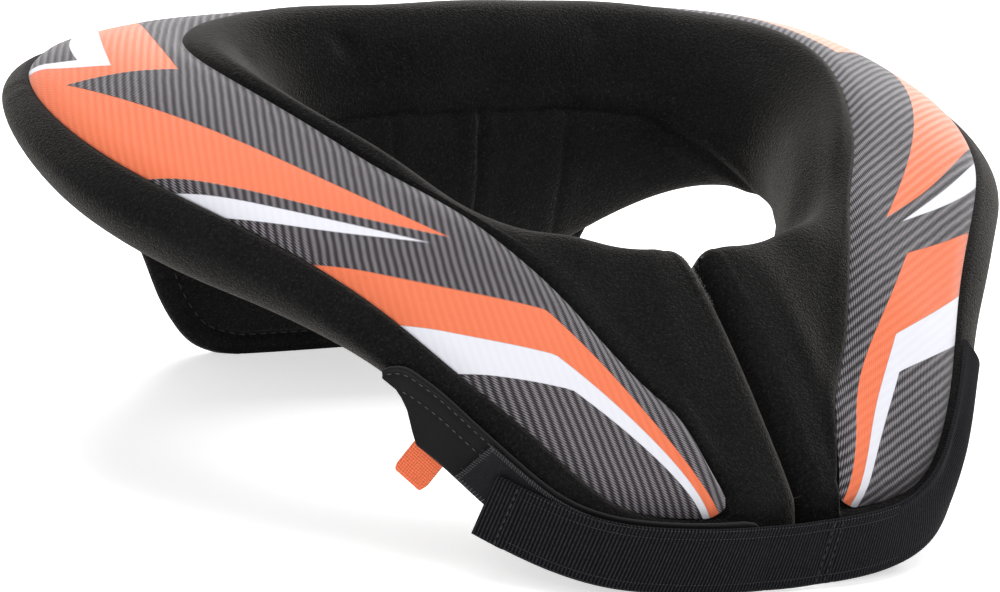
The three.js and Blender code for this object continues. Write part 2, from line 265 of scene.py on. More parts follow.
def spread(tree, value, low, high, to_low=0.0, to_high=1.0):
    node = add_node(tree, "ShaderNodeMapRange", {"Value": value, "From Min": low, "From Max": high,
                                                 "To Min": to_low, "To Max": to_high})
    return node.outputs[0]


def bumped(tree, shader, height, strength, distance):
    node = add_node(tree, "ShaderNodeBump", {"Height": height, "Strength": strength, "Distance": distance})
    tree.links.new(node.outputs[0], shader.inputs["Normal"])


def brushed_cloth():
    """Short raised nap: dark ground, fine light specks of fibre, a soft bloom where it is seen along."""
    material, tree, shader = new_material("brushed_black_cloth")
    place = add_node(tree, "ShaderNodeTexCoord").outputs["Object"]
    nap = noise(tree, place, 1150, 3, 0.6)
    fibre = noise(tree, place, 2900, 2, 0.6)
    patch = noise(tree, place, 60, 4, 0.55)
    tone = calc(tree, "ADD", calc(tree, "MULTIPLY", spread(tree, nap, 0.32, 0.7), 0.65),
                calc(tree, "MULTIPLY", spread(tree, patch, 0.3, 0.7), 0.35))
    ground = blended(tree, tone, (0.0030, 0.0030, 0.0034, 1), (0.0118, 0.0114, 0.0114, 1))
    specks = calc(tree, "MULTIPLY", spread(tree, fibre, 0.56, 0.72), spread(tree, nap, 0.42, 0.62))
    colour = blended(tree, specks, ground, (0.046, 0.043, 0.040, 1))
    tree.links.new(colour, shader.inputs["Base Color"])
    height = calc(tree, "ADD", nap, calc(tree, "MULTIPLY", fibre, 0.6))
    bumped(tree, shader, height, 0.75, 0.0006)
    shader.inputs["Roughness"].default_value = 0.95
    shader.inputs["Specular IOR Level"].default_value = 0.08
    shader.inputs["Sheen Weight"].default_value = 0.36
    shader.inputs["Sheen Roughness"].default_value = 0.30
    shader.inputs["Sheen Tint"].default_value = (0.66, 0.62, 0.57, 1)
    return material


NAP_CLOTH = brushed_cloth()

# Columns of the grid between key points, closer together beside the panel's edges and on the roll.
SPAN_COLUMNS = [12, 22, 14, 12, 30, 7, 7, 14, 10, 12, 10]
column_keys = []
for span, count in enumerate(SPAN_COLUMNS):
    t = np.arange(count) / count
    if span == KEY_IN - 1:
        t = 1 - (1 - t) ** 1.7
    if span == KEY_OUT:
        t = t ** 1.5
    column_keys.append(span + t)
column_keys = np.concatenate(column_keys)


def spaced(stretches):
    """Places along a run, from rows of where a stretch starts and its count of steps, to the run's end."""
    runs = [np.linspace(a, b, n, endpoint=False) for (a, n), (b, last) in zip(stretches, stretches[1:])]
    return np.concatenate(runs + [[stretches[-1][0]]])


stations = half_and_mirror(spaced([(4, 24), (16, 132), (150, 51), (180, 0)]))

body_sections = cover_points(stations[:, None], column_keys[None, :])
body_rows = in_space(body_sections, stations[:, None] + 0 * column_keys, END_ROUND)
end_section = cover_points(np.full(len(column_keys), END_ANGLE), column_keys)


END_SHARES, END_RINGS, END_BULGE = (0.08, 0.22, 0.38, 0.54, 0.7, 0.84, 0.94), 11, 0.9


def inset_section(section, by):
    along = np.roll(section, -1, 0) - np.roll(section, 1, 0)
    along /= np.linalg.norm(along, axis=-1, keepdims=True)
    return section + np.stack([along[:, 1], -along[:, 0]], -1) * by


def end_rows(angle):
    """The rounded end of one arm, from the middle of its end face out to the full section."""
    rows = []
    face = in_space(inset_section(end_section, 0.98 * END_ROUND), np.full(len(column_keys), angle), 0.0)
    centre = face.mean(0)
    towards = -1.0 if angle < 180 else 1.0
    for share in END_SHARES:
        ring = centre + (face - centre) * share
        ring[:, 0] += towards * END_BULGE * (1 - share**2)
        rows.append(ring)
    for k in range(END_RINGS):
        turn = math.radians(90 * (0.02 + k) / END_RINGS)
        ring = inset_section(end_section, (1 - math.sin(turn)) * END_ROUND)
        rows.append(in_space(ring, np.full(len(column_keys), angle), (1 - math.cos(turn)) * END_ROUND))
    return rows


first_end, last_end = end_rows(END_ANGLE), end_rows(360 - END_ANGLE)
collar_grid = np.concatenate([np.array(first_end), body_rows, np.array(last_end[::-1])])
ROWS, COLS = collar_grid.shape[:2]
END_COUNT = len(first_end)
in_body = np.zeros(ROWS, bool)
in_body[END_COUNT:ROWS - END_COUNT] = True
row_angle = np.concatenate([np.full(END_COUNT, END_ANGLE), stations, np.full(END_COUNT, 360 - END_ANGLE)])
folded_angle = np.minimum(row_angle, 360 - row_angle)


def closed_grid(grid, material, name):
    """A piece from a closed grid whose two end rows are each drawn to a point."""
    rows, columns = grid.shape[:2]
    points = np.concatenate([grid.reshape(-1, 3), grid[:1].mean(1), grid[-1:].mean(1)])
    faces = grid_faces(rows, columns)
    for j in range(columns):
        faces.append([(j + 1) % columns, j, rows * columns])
        last = (rows - 1) * columns
        faces.append([last + j, last + (j + 1) % columns, rows * columns + 1])
    return new_piece(name, points, turned_outwards(points, faces), material)


def swollen(grid, held, cap, pressure):
    """How far a closed padded form moves when its cloth is filled: points that are held stay."""
    piece = closed_grid(grid, NAP_CLOTH, "filling")
    pins = piece.vertex_groups.new(name="held")
    pins.add(np.nonzero(held.ravel())[0].tolist(), 1.0, "REPLACE")
    cloth = piece.modifiers.new("filled", "CLOTH")
    cloth.settings.quality = 5
    cloth.settings.mass = 0.2
    cloth.settings.tension_stiffness = 20
    cloth.settings.compression_stiffness = 20
    cloth.settings.bending_stiffness = 1.5
    cloth.settings.use_pressure = True
    cloth.settings.uniform_pressure_force = pressure
    cloth.settings.vertex_group_mass = "held"
    cloth.settings.effector_weights.gravity = 0
    cloth.collision_settings.use_collision = False
    for step in range(1, 21):
        bpy.context.scene.frame_set(step)
    done = piece.evaluated_get(bpy.context.evaluated_depsgraph_get())
    moved = np.empty(len(done.data.vertices) * 3)
    done.data.vertices.foreach_get("co", moved)
    moved = moved.reshape(-1, 3)[:grid.shape[0] * grid.shape[1]].reshape(grid.shape) / MM - grid
    mesh = piece.data
    bpy.data.objects.remove(piece)
    bpy.data.meshes.remove(mesh)
    bpy.context.scene.frame_set(1)
    far = np.linalg.norm(moved, axis=-1, keepdims=True)
    return moved * np.minimum(1, cap / np.maximum(far, 1e-9))


def finer(coarse, row_places, column_places, rows, columns):
    """Values of a coarse grid spread over all rows and columns of the fine one."""
    wide = np.stack([np.interp(np.arange(columns), column_places, np.r_[line, line[:1]])
                     for k in range(coarse.shape[-1]) for line in coarse[..., k]])
    wide = wide.reshape(coarse.shape[-1], coarse.shape[0], columns)
    tall = [[np.interp(np.arange(rows), row_places, plane[:, j]) for j in range(columns)] for plane in wide]
    return np.array(tall).transpose(2, 1, 0)


SWELL_CAP, SWELL_PRESSURE, SWELL_PASSES = 1.3, 4.0, 8
row_places = np.unique(np.r_[np.arange(0, ROWS, 4), ROWS - 1])
column_places = np.arange(0, COLS, 3)
coarse = collar_grid[row_places][:, column_places]
under_panel = (column_keys[column_places] > KEY_IN - 0.3) & (column_keys[column_places] < KEY_OUT + 0.4)
on_floor = coarse[..., 2] < 1.0
moved = swollen(coarse, under_panel[None, :] | on_floor, SWELL_CAP, SWELL_PRESSURE)
for smoothing in range(SWELL_PASSES):
    moved = moved / 2 + (np.roll(moved, 1, 1) + np.roll(moved, -1, 1)) / 4
    ends = np.concatenate([moved[:1], moved, moved[-1:]])
    moved = moved / 2 + (ends[:-2] + ends[2:]) / 4
moved *= ~(under_panel[None, :] | on_floor)[..., None]
collar_grid = collar_grid + finer(moved, row_places, np.r_[column_places, COLS], ROWS, COLS)

# Seams: distance in millimetres along each section from a seam sets how deep the cloth is drawn in.
run = np.linalg.norm(np.roll(collar_grid, -1, 1) - collar_grid, axis=-1)
arc = np.concatenate([np.zeros((ROWS, 1)), np.cumsum(run, 1)[:, :-1]], 1)


def arc_at(keys):
    """How far round each section a place between key points is, in millimetres."""
    return np.array([[np.interp(k, column_keys, line)] for k, line in zip(np.broadcast_to(keys, ROWS), arc)])


def sewn_in(distance, deep, wide, puff, puff_at, puff_wide):
    """A seam drawn into padding: a narrow groove between two soft swellings."""
    return puff * bell(np.abs(distance) - puff_at, puff_wide) - deep * bell(distance, wide)


PANEL_TIP_ANGLE, TIP_MM_PER_DEGREE = 9.5, 2.0
BED_DEEP, GROOVE_DEEP, GROOVE_WIDE = 1.5, 1.0, 1.1
ROLL_RISE, ROLL_AT, ROLL_WIDE = 0.4, 5.0, 4.2
tip_distance = ((folded_angle - PANEL_TIP_ANGLE + 0.2) * TIP_MM_PER_DEGREE)[:, None]
inside_panel = np.minimum(np.minimum(arc - arc_at(KEY_IN), arc_at(KEY_OUT) - arc), tip_distance)
push = -BED_DEEP * ease(-0.6, 1.6, inside_panel) - GROOVE_DEEP * bell(inside_panel, GROOVE_WIDE)
push += ROLL_RISE * bell(np.maximum(-inside_panel, 0) - ROLL_AT, ROLL_WIDE) * (inside_panel < 0)

LINING_SEAM = [(112, 0.05), (115, 0.31), (125, 0.91), (132, 1.31), (138, 1.58), (147, 1.76),
               (158, 1.9), (180, 1.98)]
seam_key = np.interp(folded_angle, *zip(*LINING_SEAM))
from_lining = np.abs(arc - arc_at(seam_key))
has_lining = (ease(110, 115, folded_angle) * in_body)[:, None]
push += has_lining * sewn_in(from_lining, deep=0.95, wide=1.0, puff=0.55, puff_at=4.2, puff_wide=3.0)

below_lining = (column_keys[None, :] < seam_key[:, None]) & (column_keys[None, :] > 0.15)
reach_here = np.hypot(collar_grid[..., 0], collar_grid[..., 1] - HOLE_Y)
WALL_SEAMS = [(180, 0.55), (155, 0.3), (205, 0.3)]
for seam_angle, depth in WALL_SEAMS:
    aside = np.radians(np.abs(row_angle - seam_angle))[:, None] * reach_here
    seam = sewn_in(aside, deep=1.0, wide=0.95, puff=0.5, puff_at=3.6, puff_wide=2.6)
    push += depth * below_lining * seam

# Creases of the roll: angle, place between key points, depth, width and height.
ROLL_CREASES = [(211, 2.8, 1.3, 3.2, 0.28), (149, 2.9, 0.7, 4.0, 0.3), (236, 3.1, 0.6, 5.0, 0.4)]
for angle, key, depth, wide, tall in ROLL_CREASES:
    aside = np.radians(row_angle - angle)[:, None] * reach_here
    push -= depth * bell(aside, wide) * bell(column_keys[None, :] - key, tall)
TIP_DART_ANGLES = (118.3, 241.7)
for angle in TIP_DART_ANGLES:
    aside = np.radians(row_angle - angle)[:, None] * reach_here
    on_dart = ease(6.9, 7.05, column_keys) * ease(8.1, 7.6, column_keys)
    push += on_dart * sewn_in(aside, deep=0.9, wide=0.9, puff=0.35, puff_at=3.0, puff_wide=2.0)
# The end face of each arm is its own cut of cloth, sewn in just inside the rounding.
END_SEAM = END_COUNT - 9
END_SEAM_ROWS = [(-1, 0.12), (0, 0.36), (1, 0.12)]
for aside, depth in END_SEAM_ROWS:
    push[[END_SEAM + aside, ROWS - 1 - END_SEAM - aside]] -= depth
SOFT_RISE = 0.22
soft = np.sin(collar_grid[..., 0] * 0.115 + 1.3) * np.sin(collar_grid[..., 1] * 0.094 + 0.4)
soft += np.sin(collar_grid[..., 0] * 0.061 - collar_grid[..., 2] * 0.13 + 2.1)
push += SOFT_RISE * soft * in_body[:, None]
normals = grid_normals(collar_grid)
if (normals[ROWS // 2, SPAN_COLUMNS[0]] @ np.array([0, -1, 0])) < 0:
    normals = -normals
collar_grid = collar_grid + normals * push[..., None]
collar_grid[..., 2] = np.maximum(collar_grid[..., 2], 0)
collar = closed_grid(collar_grid, NAP_CLOTH, "collar_cover")
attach(collar, "root")
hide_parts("collar")

# PRINTED PANEL
# A long band of ribbed grey cloth over the collar's outer face, with orange and white stripes printed
# on it. Its edges are turned under and sewn down in the cover's groove, and its front ends are rounded.
PANEL_COLUMNS = 46
PANEL_CROWN, PANEL_TUCK, PANEL_BACK = 0.9, -0.9, -0.9
PANEL_FULL_ANGLE, PANEL_TIP_SPAN = 12.3, 2.95
panel_stations = half_and_mirror(spaced([(PANEL_TIP_ANGLE, 16), (12.5, 176), (150, 35), (180, 0)]))
panel_folded = np.minimum(panel_stations, 360 - panel_stations)
even_across = np.linspace(-0.5, 0.5, PANEL_COLUMNS)
across = np.sin(even_across * math.pi) * 0.35 + even_across * 0.65
across = across / (2 * across[-1])
tip_share = (PANEL_FULL_ANGLE - np.minimum(panel_folded, PANEL_FULL_ANGLE)) / PANEL_TIP_SPAN
tip_width = np.sqrt(np.clip(1 - tip_share**2, 0.05, 1))
panel_share = 0.5 + across[None, :] * tip_width[:, None]


def on_face(angles, share):
    """Points of the panel's face by share of the way from its inner edge to its outer one."""
    dense = np.linspace(KEY_IN, KEY_OUT, 61)
    line = cover_points(angles[:, None], dense[None, :])
    length = np.concatenate([np.zeros((len(angles), 1)),
                             np.cumsum(np.linalg.norm(np.diff(line, axis=1), axis=-1), 1)], 1)
    length = length / length[:, -1:]
    key = np.stack([np.interp(s, l, dense) for s, l in zip(share, length)])
    return in_space(cover_points(angles[:, None], key), angles[:, None] + 0 * key, END_ROUND)


panel_face = on_face(panel_stations, panel_share)
panel_normals = grid_normals(panel_face, closed_across=False)
if panel_normals[len(panel_stations) // 2, PANEL_COLUMNS // 2, 2] < 0:
    panel_normals = -panel_normals
panel_wide = np.linalg.norm(panel_face[:, -1] - panel_face[:, 0], axis=-1)[:, None]
edge_gap = np.minimum(panel_share, 1 - panel_share) * panel_wide
tip_gap = ((panel_folded - PANEL_TIP_ANGLE) * TIP_MM_PER_DEGREE)[:, None]
edge_gap = np.minimum(np.minimum(edge_gap, tip_gap + 0.4), 40)
rise = PANEL_TUCK + (PANEL_CROWN - PANEL_TUCK) * np.sqrt(ease(0, 6.5, edge_gap + 0.25))
panel_top = panel_face + panel_normals * rise[..., None]
panel_base = panel_face + panel_normals * np.minimum(PANEL_BACK + 0.3, rise - 0.25)[..., None]
PANEL_ROWS = len(panel_stations)


def unrolled(inner, outer):
    """The band laid flat: where its two edges come, in millimetres, from the back's middle outwards."""
    flat_in, flat_out = [np.zeros(2)], [np.array([0.0, np.linalg.norm(outer[0] - inner[0])])]

    def corner(a, b, to_a, to_b):
        side = b - a
        length = np.linalg.norm(side)
        side = side / length
        x = (to_a**2 - to_b**2 + length**2) / (2 * length)
        y = math.sqrt(max(to_a**2 - x**2, 0))
        return a + side * x + np.array([side[1], -side[0]]) * y
    for i in range(len(inner) - 1):
        flat_out.append(corner(flat_in[i], flat_out[i], np.linalg.norm(outer[i + 1] - inner[i]),
                               np.linalg.norm(outer[i + 1] - outer[i])))
        flat_in.append(corner(flat_in[i], flat_out[i + 1], np.linalg.norm(inner[i + 1] - inner[i]),
                              np.linalg.norm(outer[i + 1] - inner[i + 1])))
    return np.array(flat_in), np.array(flat_out)


middle_row = PANEL_ROWS // 2
edges = on_face(panel_stations, np.tile([0.0, 1.0], (PANEL_ROWS, 1)))
right_in, right_out = unrolled(edges[middle_row::-1, 0], edges[middle_row::-1, 1])
flat_in = np.concatenate([right_in[::-1], right_in[1:] * (-1, 1)])
flat_out = np.concatenate([right_out[::-1], right_out[1:] * (-1, 1)])
flat = flat_in[:, None] + (flat_out - flat_in)[:, None] * panel_share[..., None]

# Stripe edges, charted on the flat band: millimetres sideways from the middle and along. Both arms are
# alike but for the long double stripe. An edge is one run of points, or two that meet in a corner.
STRIPE_EDGES = {
    "spear_in": [[(93.1, -142.9), (110.2, -111.9), (122.8, -83.5), (135.4, -43.6), (139.1, -27.5)]],
    "spear_out": [[(93.1, -142.9), (110.3, -126.3), (123.7, -111), (147.6, -80.5), (155, -71)]],
    "notch": [[(113.7, -45.2), (139.1, -27.5)]],
    "block_in": [[(113.7, -45.2), (104.4, -15.8), (98.6, -0.8), (84.5, 36)]],
    "chevron_in": [[(125.6, -29.9), (119.4, -15.7), (108.1, 6.8), (93.4, 36)]],
    "chevron_out": [[(125.6, -29.9), (132.9, -19.3), (138.5, -4.3), (142, 5)]],
    "heart_in": [[(128.8, -17), (123, -3), (112.6, 13), (98, 36)]],
    "heart_out": [[(128.8, -17), (133.6, -9.3), (136.3, -0.6), (138.5, 6.5)]],
    "slim_in": [[(98.9, -142), (123.4, -116.5), (144.7, -90.4), (151, -82)]],
    "slim_out": [[(98.9, -142), (113.8, -130.8), (126.1, -120.1), (147, -96)]],
    "slim_tail": [[(147, -96), (151, -82)]],
}
LONG_EDGES = {
    "right": {
        "long_in": [[(137, -122.5), (112.5, -144), (97.7, -154.4)],
                    [(97.7, -154.4), (83.9, -182.3), (75.6, -204.7), (72, -231), (70, -250)]],
        "long_middle": [[(128, -149.5), (103.2, -173.5), (87.7, -187.3)],
                        [(87.7, -187.3), (80.7, -209.8), (75.7, -234.1), (72.5, -250)]],
        "long_out": [[(123, -170), (100.4, -189.7), (87.9, -199.3)],
                     [(87.9, -199.3), (83.2, -215.2), (75, -250)]],
    },
    "left": {
        "long_in": [[(137, -122.5), (112.3, -147.2), (83.9, -174)],
                    [(83.9, -174), (80.1, -190.5), (75.8, -213.4), (73, -234.7), (71.5, -250)]],
        "long_middle": [[(127, -150.3), (106.2, -171), (89.8, -186.8)],
                        [(89.8, -186.8), (79.5, -216.3), (75.6, -233.8), (74.5, -250)]],
        "long_out": [[(122.5, -170.5), (91.5, -197.4)],
                     [(91.5, -197.4), (84, -214.9), (78.1, -233), (76, -250)]],
    },
}


def past_edge(runs, spots):
    """Distance in millimetres outwards past an edge, which runs on straight beyond its ends."""
    line = []
    for run in runs:
        x, y = np.array(run, float)[np.argsort([point[1] for point in run])].T
        along = np.linspace(y[0], y[-1], 40)
        line.append(np.stack([natural_cubic(y, x)(along), along], -1))
    line = np.concatenate(sorted(line, key=lambda part: part[0, 1]))
    line = line[np.r_[True, np.diff(line[:, 1]) > 1e-6]]
    line = np.concatenate([line[:1] * 41 - line[1:2] * 40, line, line[-1:] * 41 - line[-2:-1] * 40])
    slope = np.gradient(line[:, 0], line[:, 1])
    sideways = np.abs(spots[..., 0]) - np.interp(spots[..., 1], line[:, 1], line[:, 0])
    return sideways / np.hypot(1, np.interp(spots[..., 1], line[:, 1], slope))


past = {name: past_edge(runs, flat) for name, runs in STRIPE_EDGES.items()}
for name in LONG_EDGES["right"]:
    arms = [past_edge(LONG_EDGES[arm][name], flat) for arm in ("right", "left")]
    past[name] = np.where(panel_stations[:, None] <= 180, *arms)

# Ribs: on the flat band they run much the same way all round, turning slowly towards the left front.
RIB_PITCH, THREAD_PITCH, THREAD_LEAN = 2.15, 0.56, 42.0
RIB_TURN = [(0, 45), (180, 50), (290, 63), (335, 80), (356, 84)]
turn = np.radians(np.interp(panel_stations, *zip(*RIB_TURN)))
rib_along = np.stack([np.cos(turn), np.sin(turn)], -1)
rib_across = np.stack([-np.sin(turn), np.cos(turn)], -1)
spine = (flat_in + flat_out) / 2
step = np.diff(spine, axis=0)


def followed(direction):
    mean = (direction[1:] + direction[:-1]) / 2
    base = np.concatenate([[0], np.cumsum((step * mean).sum(-1))])
    return base[:, None] + ((flat - spine[:, None]) * direction[:, None]).sum(-1)


rib_uv = np.stack([followed(rib_across), followed(rib_along)], -1)
EDGE_LAYERS = {
    "spear_lines": ("spear_in", "spear_out", "notch"),
    "block_lines": ("block_in", "chevron_in", "chevron_out"),
    "heart_lines": ("heart_in", "heart_out", "slim_tail"),
    "slim_lines": ("slim_in", "slim_out", "slim_out"),
    "long_lines": ("long_in", "long_middle", "long_out"),
}


def wave(tree, value, pitch):
    """A smooth wave between 0 and 1."""
    turned = calc(tree, "COSINE", calc(tree, "MULTIPLY", value, 2 * math.pi / pitch))
    return spread(tree, turned, -1.0, 1.0)


def least(tree, *values):
    low = values[0]
    for value in values[1:]:
        low = calc(tree, "MINIMUM", low, value)
    return low


def printed_weave():
    """Ropes of short leaning threads, full on a rope's back and thin in the grooves, with ink over them;
    painted shade darkens the grooves further.
    """
    material, tree, shader = new_material("printed_ribbed_cloth")
    uv = from_node(tree, "ShaderNodeUVMap", uv_map="ribs")
    parts = add_node(tree, "ShaderNodeSeparateXYZ", {"Vector": uv})
    place = add_node(tree, "ShaderNodeTexCoord").outputs["Object"]
    wander = spread(tree, noise(tree, place, 160, 2), 0.0, 1.0, -0.25, 0.25)
    over, along = calc(tree, "ADD", parts.outputs[0], wander), parts.outputs[1]
    rope = wave(tree, over, RIB_PITCH)
    lean = math.radians(THREAD_LEAN)
    thread = wave(tree, calc(tree, "SUBTRACT", calc(tree, "MULTIPLY", over, math.cos(lean)),
                             calc(tree, "MULTIPLY", along, math.sin(lean))), THREAD_PITCH)
    hidden = spread(tree, rope, 0.0, 1.0, 0.95, 0.2)
    shown = spread(tree, calc(tree, "SUBTRACT", thread, hidden), -0.25, 0.25)
    grain = noise(tree, place, 1900, 2, 0.6)
    light = calc(tree, "MULTIPLY", shown, spread(tree, grain, 0.3, 0.7, 0.72, 1.12))
    # Painted shade: the colour darkens towards each groove between the ropes, on the grey weave and a little
    # on the orange and white print.
    light = calc(tree, "MULTIPLY", light, spread(tree, rope, 0.0, 0.8, 0.4, 1.0))
    weave = blended(tree, light, (0.015, 0.0125, 0.016, 1), (0.30, 0.272, 0.297, 1))

    edge = {}
    for layer, names in EDGE_LAYERS.items():
        stored = add_node(tree, "ShaderNodeAttribute", attribute_name=layer).outputs["Vector"]
        edge.update(zip(names, add_node(tree, "ShaderNodeSeparateXYZ", {"Vector": stored}).outputs))

    def before(name):
        return calc(tree, "MULTIPLY", edge[name], -1.0)

    def print_share(*depths):
        deepest = depths[0]
        for depth in depths[1:]:
            deepest = calc(tree, "MAXIMUM", deepest, depth)
        return spread(tree, deepest, -0.1, 0.1)
    chevron = least(tree, edge["chevron_in"], before("chevron_out"))
    heart = least(tree, edge["heart_in"], before("heart_out"))
    orange_share = print_share(
        least(tree, edge["spear_in"], before("spear_out")),
        least(tree, edge["block_in"], before("notch"), calc(tree, "MULTIPLY", chevron, -1.0)),
        least(tree, edge["long_in"], before("long_middle")))
    white_share = print_share(
        least(tree, chevron, calc(tree, "MULTIPLY", heart, -1.0)),
        least(tree, edge["slim_in"], before("slim_out"), before("slim_tail")),
        least(tree, edge["long_middle"], before("long_out")))
    ink = blended(tree, light, (0.88, 0.190, 0.078, 1), (0.93, 0.225, 0.105, 1))
    chalk = blended(tree, light, (0.80, 0.80, 0.875, 1), (0.84, 0.842, 0.90, 1))
    colour = blended(tree, white_share, blended(tree, orange_share, weave, ink), chalk)
    tree.links.new(colour, shader.inputs["Base Color"])
    flattened = calc(tree, "MAXIMUM", calc(tree, "MULTIPLY", orange_share, 0.75),
                     calc(tree, "MULTIPLY", white_share, 0.95))
    height = calc(tree, "ADD", rope, calc(tree, "MULTIPLY", shown, 0.3))
    height = calc(tree, "MULTIPLY", height, spread(tree, flattened, 0.0, 1.0, 1.0, 0.0))
    bumped(tree, shader, height, 0.7, 0.0007)
    tree.links.new(spread(tree, flattened, 0.0, 1.0, 0.75, 0.55), shader.inputs["Roughness"])
    shader.inputs["Specular IOR Level"].default_value = 0.3
    shader.inputs["Sheen Weight"].default_value = 0.45
    shader.inputs["Sheen Roughness"].default_value = 0.32
    return material


panel_points = np.concatenate([panel_top.reshape(-1, 3), panel_base.reshape(-1, 3)])
count = PANEL_ROWS * PANEL_COLUMNS
panel_faces = grid_faces(PANEL_ROWS, PANEL_COLUMNS, closed=False)
panel_faces += [[count + k for k in f[::-1]] for f in panel_faces]
rim_loop = [i * PANEL_COLUMNS for i in range(PANEL_ROWS)]
rim_loop += [(PANEL_ROWS - 1) * PANEL_COLUMNS + j for j in range(1, PANEL_COLUMNS)]
rim_loop += [i * PANEL_COLUMNS + PANEL_COLUMNS - 1 for i in range(PANEL_ROWS - 2, -1, -1)]
rim_loop += list(range(PANEL_COLUMNS - 2, 0, -1))
panel_faces += [[a, b, b + count, a + count] for a, b in zip(rim_loop, rim_loop[1:] + rim_loop[:1])]
panel_faces = turned_outwards(panel_points, panel_faces)
panel_piece = new_piece("printed_cloth", panel_points, panel_faces, printed_weave())
corner_points = np.empty(len(panel_piece.data.loops), int)
panel_piece.data.loops.foreach_get("vertex_index", corner_points)
rib_map = panel_piece.data.uv_layers.new(name="ribs")
rib_map.uv.foreach_set("vector", rib_uv.reshape(-1, 2)[corner_points % count].ravel())
for layer, names in EDGE_LAYERS.items():
    three_edges = np.stack([past[name] for name in names], -1).reshape(-1, 3)
    stored = panel_piece.data.attributes.new(layer, "FLOAT_VECTOR", "POINT")
    stored.data.foreach_set("vector", np.tile(three_edges, (2, 1)).ravel())
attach(panel_piece, "root")
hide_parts("printed_panel")

# BACK FLAP
# A flat pad that hangs under the collar's back edge: two layers of the brushed cloth over thin foam,
# sewn together seven millimetres inside their edge. Its foot is pressed flat where the collar rests on it.
FLAP_Y, FLAP_LEAN, FLAP_BORDER = 119.0, 0.02, 7.0
FLAP_OUTLINE = [(-1.5, 42), (1, 52), (4, 58), (9, 63), (17, 68.5), (28, 74), (43, 81.5), (83, 87)]
FLAP_MIDDLE_Z, FLAP_FOOT_Z, FLAP_FOOT_HALF, FLAP_SIDE_Z, FLAP_TOP_HALF = 38.0, -1.5, 42.0, 83.0, 86.0
FLAP_HALF_BORDER, FLAP_HALF_PAD = 1.7, 4.6
FLAP_TUCK, FLAP_TOP_Z = 1.0, 87.0


cover_tree = BVHTree.FromObject(collar, bpy.context.evaluated_depsgraph_get())


def underside(x, y):
    """Height of the collar's underside over points on the floor."""
    hits = [cover_tree.ray_cast((px * MM, py * MM, 0.0), (0, 0, 1))[0] for px, py in zip(x, y)]
    return np.array([hit[2] / MM if hit else FLAP_TOP_Z for hit in hits])


def far_from(points, outline):
    """Distance in millimetres from a closed outline."""
    start = np.array(outline, float)
    side = np.roll(start, -1, 0) - start
    spot = points[..., None, :] - start
    share = np.clip((spot * side).sum(-1) / (side**2).sum(-1), 0, 1)
    return np.linalg.norm(spot - side * share[..., None], axis=-1).min(-1)


z_rows = np.linspace(FLAP_FOOT_Z, FLAP_SIDE_Z, 90)
half_at = np.minimum(natural_cubic(*zip(*FLAP_OUTLINE))(z_rows), FLAP_TOP_HALF + 2)
flap_y = FLAP_Y + HOLE_Y
foot_x = np.linspace(-FLAP_FOOT_HALF, FLAP_FOOT_HALF, 40)
top_x = np.linspace(FLAP_TOP_HALF, -FLAP_TOP_HALF, 70)


def roof_over(x):
    """Height that the flap's upper edge reaches, a little way into the collar."""
    return underside(x, np.full(len(x), flap_y + 1.0)) + FLAP_TUCK


outline = np.concatenate([
    np.stack([foot_x, np.full(len(foot_x), FLAP_FOOT_Z)], -1),
    np.stack([half_at[1:-1], z_rows[1:-1]], -1),
    np.stack([top_x, roof_over(top_x)], -1),
    np.stack([-half_at[-2:0:-1], z_rows[-2:0:-1]], -1),
])
under_roof = np.clip(outline[:, 0], -FLAP_TOP_HALF - 1, FLAP_TOP_HALF + 1)
outline = outline[outline[:, 1] <= roof_over(under_roof) + 0.01]


def run_length(points):
    """Length of a line of points up to each of them."""
    return np.r_[0, np.cumsum(np.linalg.norm(np.diff(points, axis=0), axis=-1))]


whole_outline = np.r_[outline, outline[:1]]
ring_length = run_length(whole_outline)
even = np.linspace(0, ring_length[-1], 261)[:-1]
outline = np.stack([np.interp(even, ring_length, whole_outline[:, k]) for k in (0, 1)], -1)
FLAP_SHARES = np.r_[np.linspace(0.06, 0.72, 12), np.linspace(0.76, 0.965, 16), 0.978, 0.988, 0.995, 1.0]
middle = np.array([0, FLAP_MIDDLE_Z])
flap_xz = middle + (outline[None] - middle) * FLAP_SHARES[:, None, None]
from_edge = far_from(flap_xz, outline)
on_side = ease(60, 52, flap_xz[..., 1])
half = FLAP_HALF_BORDER * np.sqrt(np.clip(1 - (1 - np.clip(from_edge / 1.5, 0, 1)) ** 2, 0.004, 1))
half += (FLAP_HALF_PAD - FLAP_HALF_BORDER) * ease(FLAP_BORDER - 0.5, FLAP_BORDER + 15, from_edge)
half -= 0.75 * bell(from_edge - FLAP_BORDER, 0.9) * np.maximum(on_side, 0.3)
half += 0.45 * bell(from_edge - FLAP_BORDER / 2, 2.2)
half = np.maximum(half, 2.6 * ease(5, 0, flap_xz[..., 1]) * ease(0, 1.5, from_edge + 0.4))
sway = 0.9 * np.sin(flap_xz[..., 0] * 0.055 + 0.6) * ease(60, 5, flap_xz[..., 1])


def flap_side(side):
    y = flap_y + FLAP_LEAN * flap_xz[..., 1] + side * half + sway
    roof = underside(flap_xz[..., 0].ravel(), y.ravel()).reshape(y.shape) + FLAP_TUCK
    z = np.clip(flap_xz[..., 1], 0, np.maximum(roof, 0))
    return np.stack([flap_xz[..., 0], y, z], -1)


flap_grid = np.concatenate([flap_side(-1), flap_side(1)[::-1]])
flap = closed_grid(flap_grid, NAP_CLOTH, "flap_pad")
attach(flap, "root")
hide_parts("back_flap")


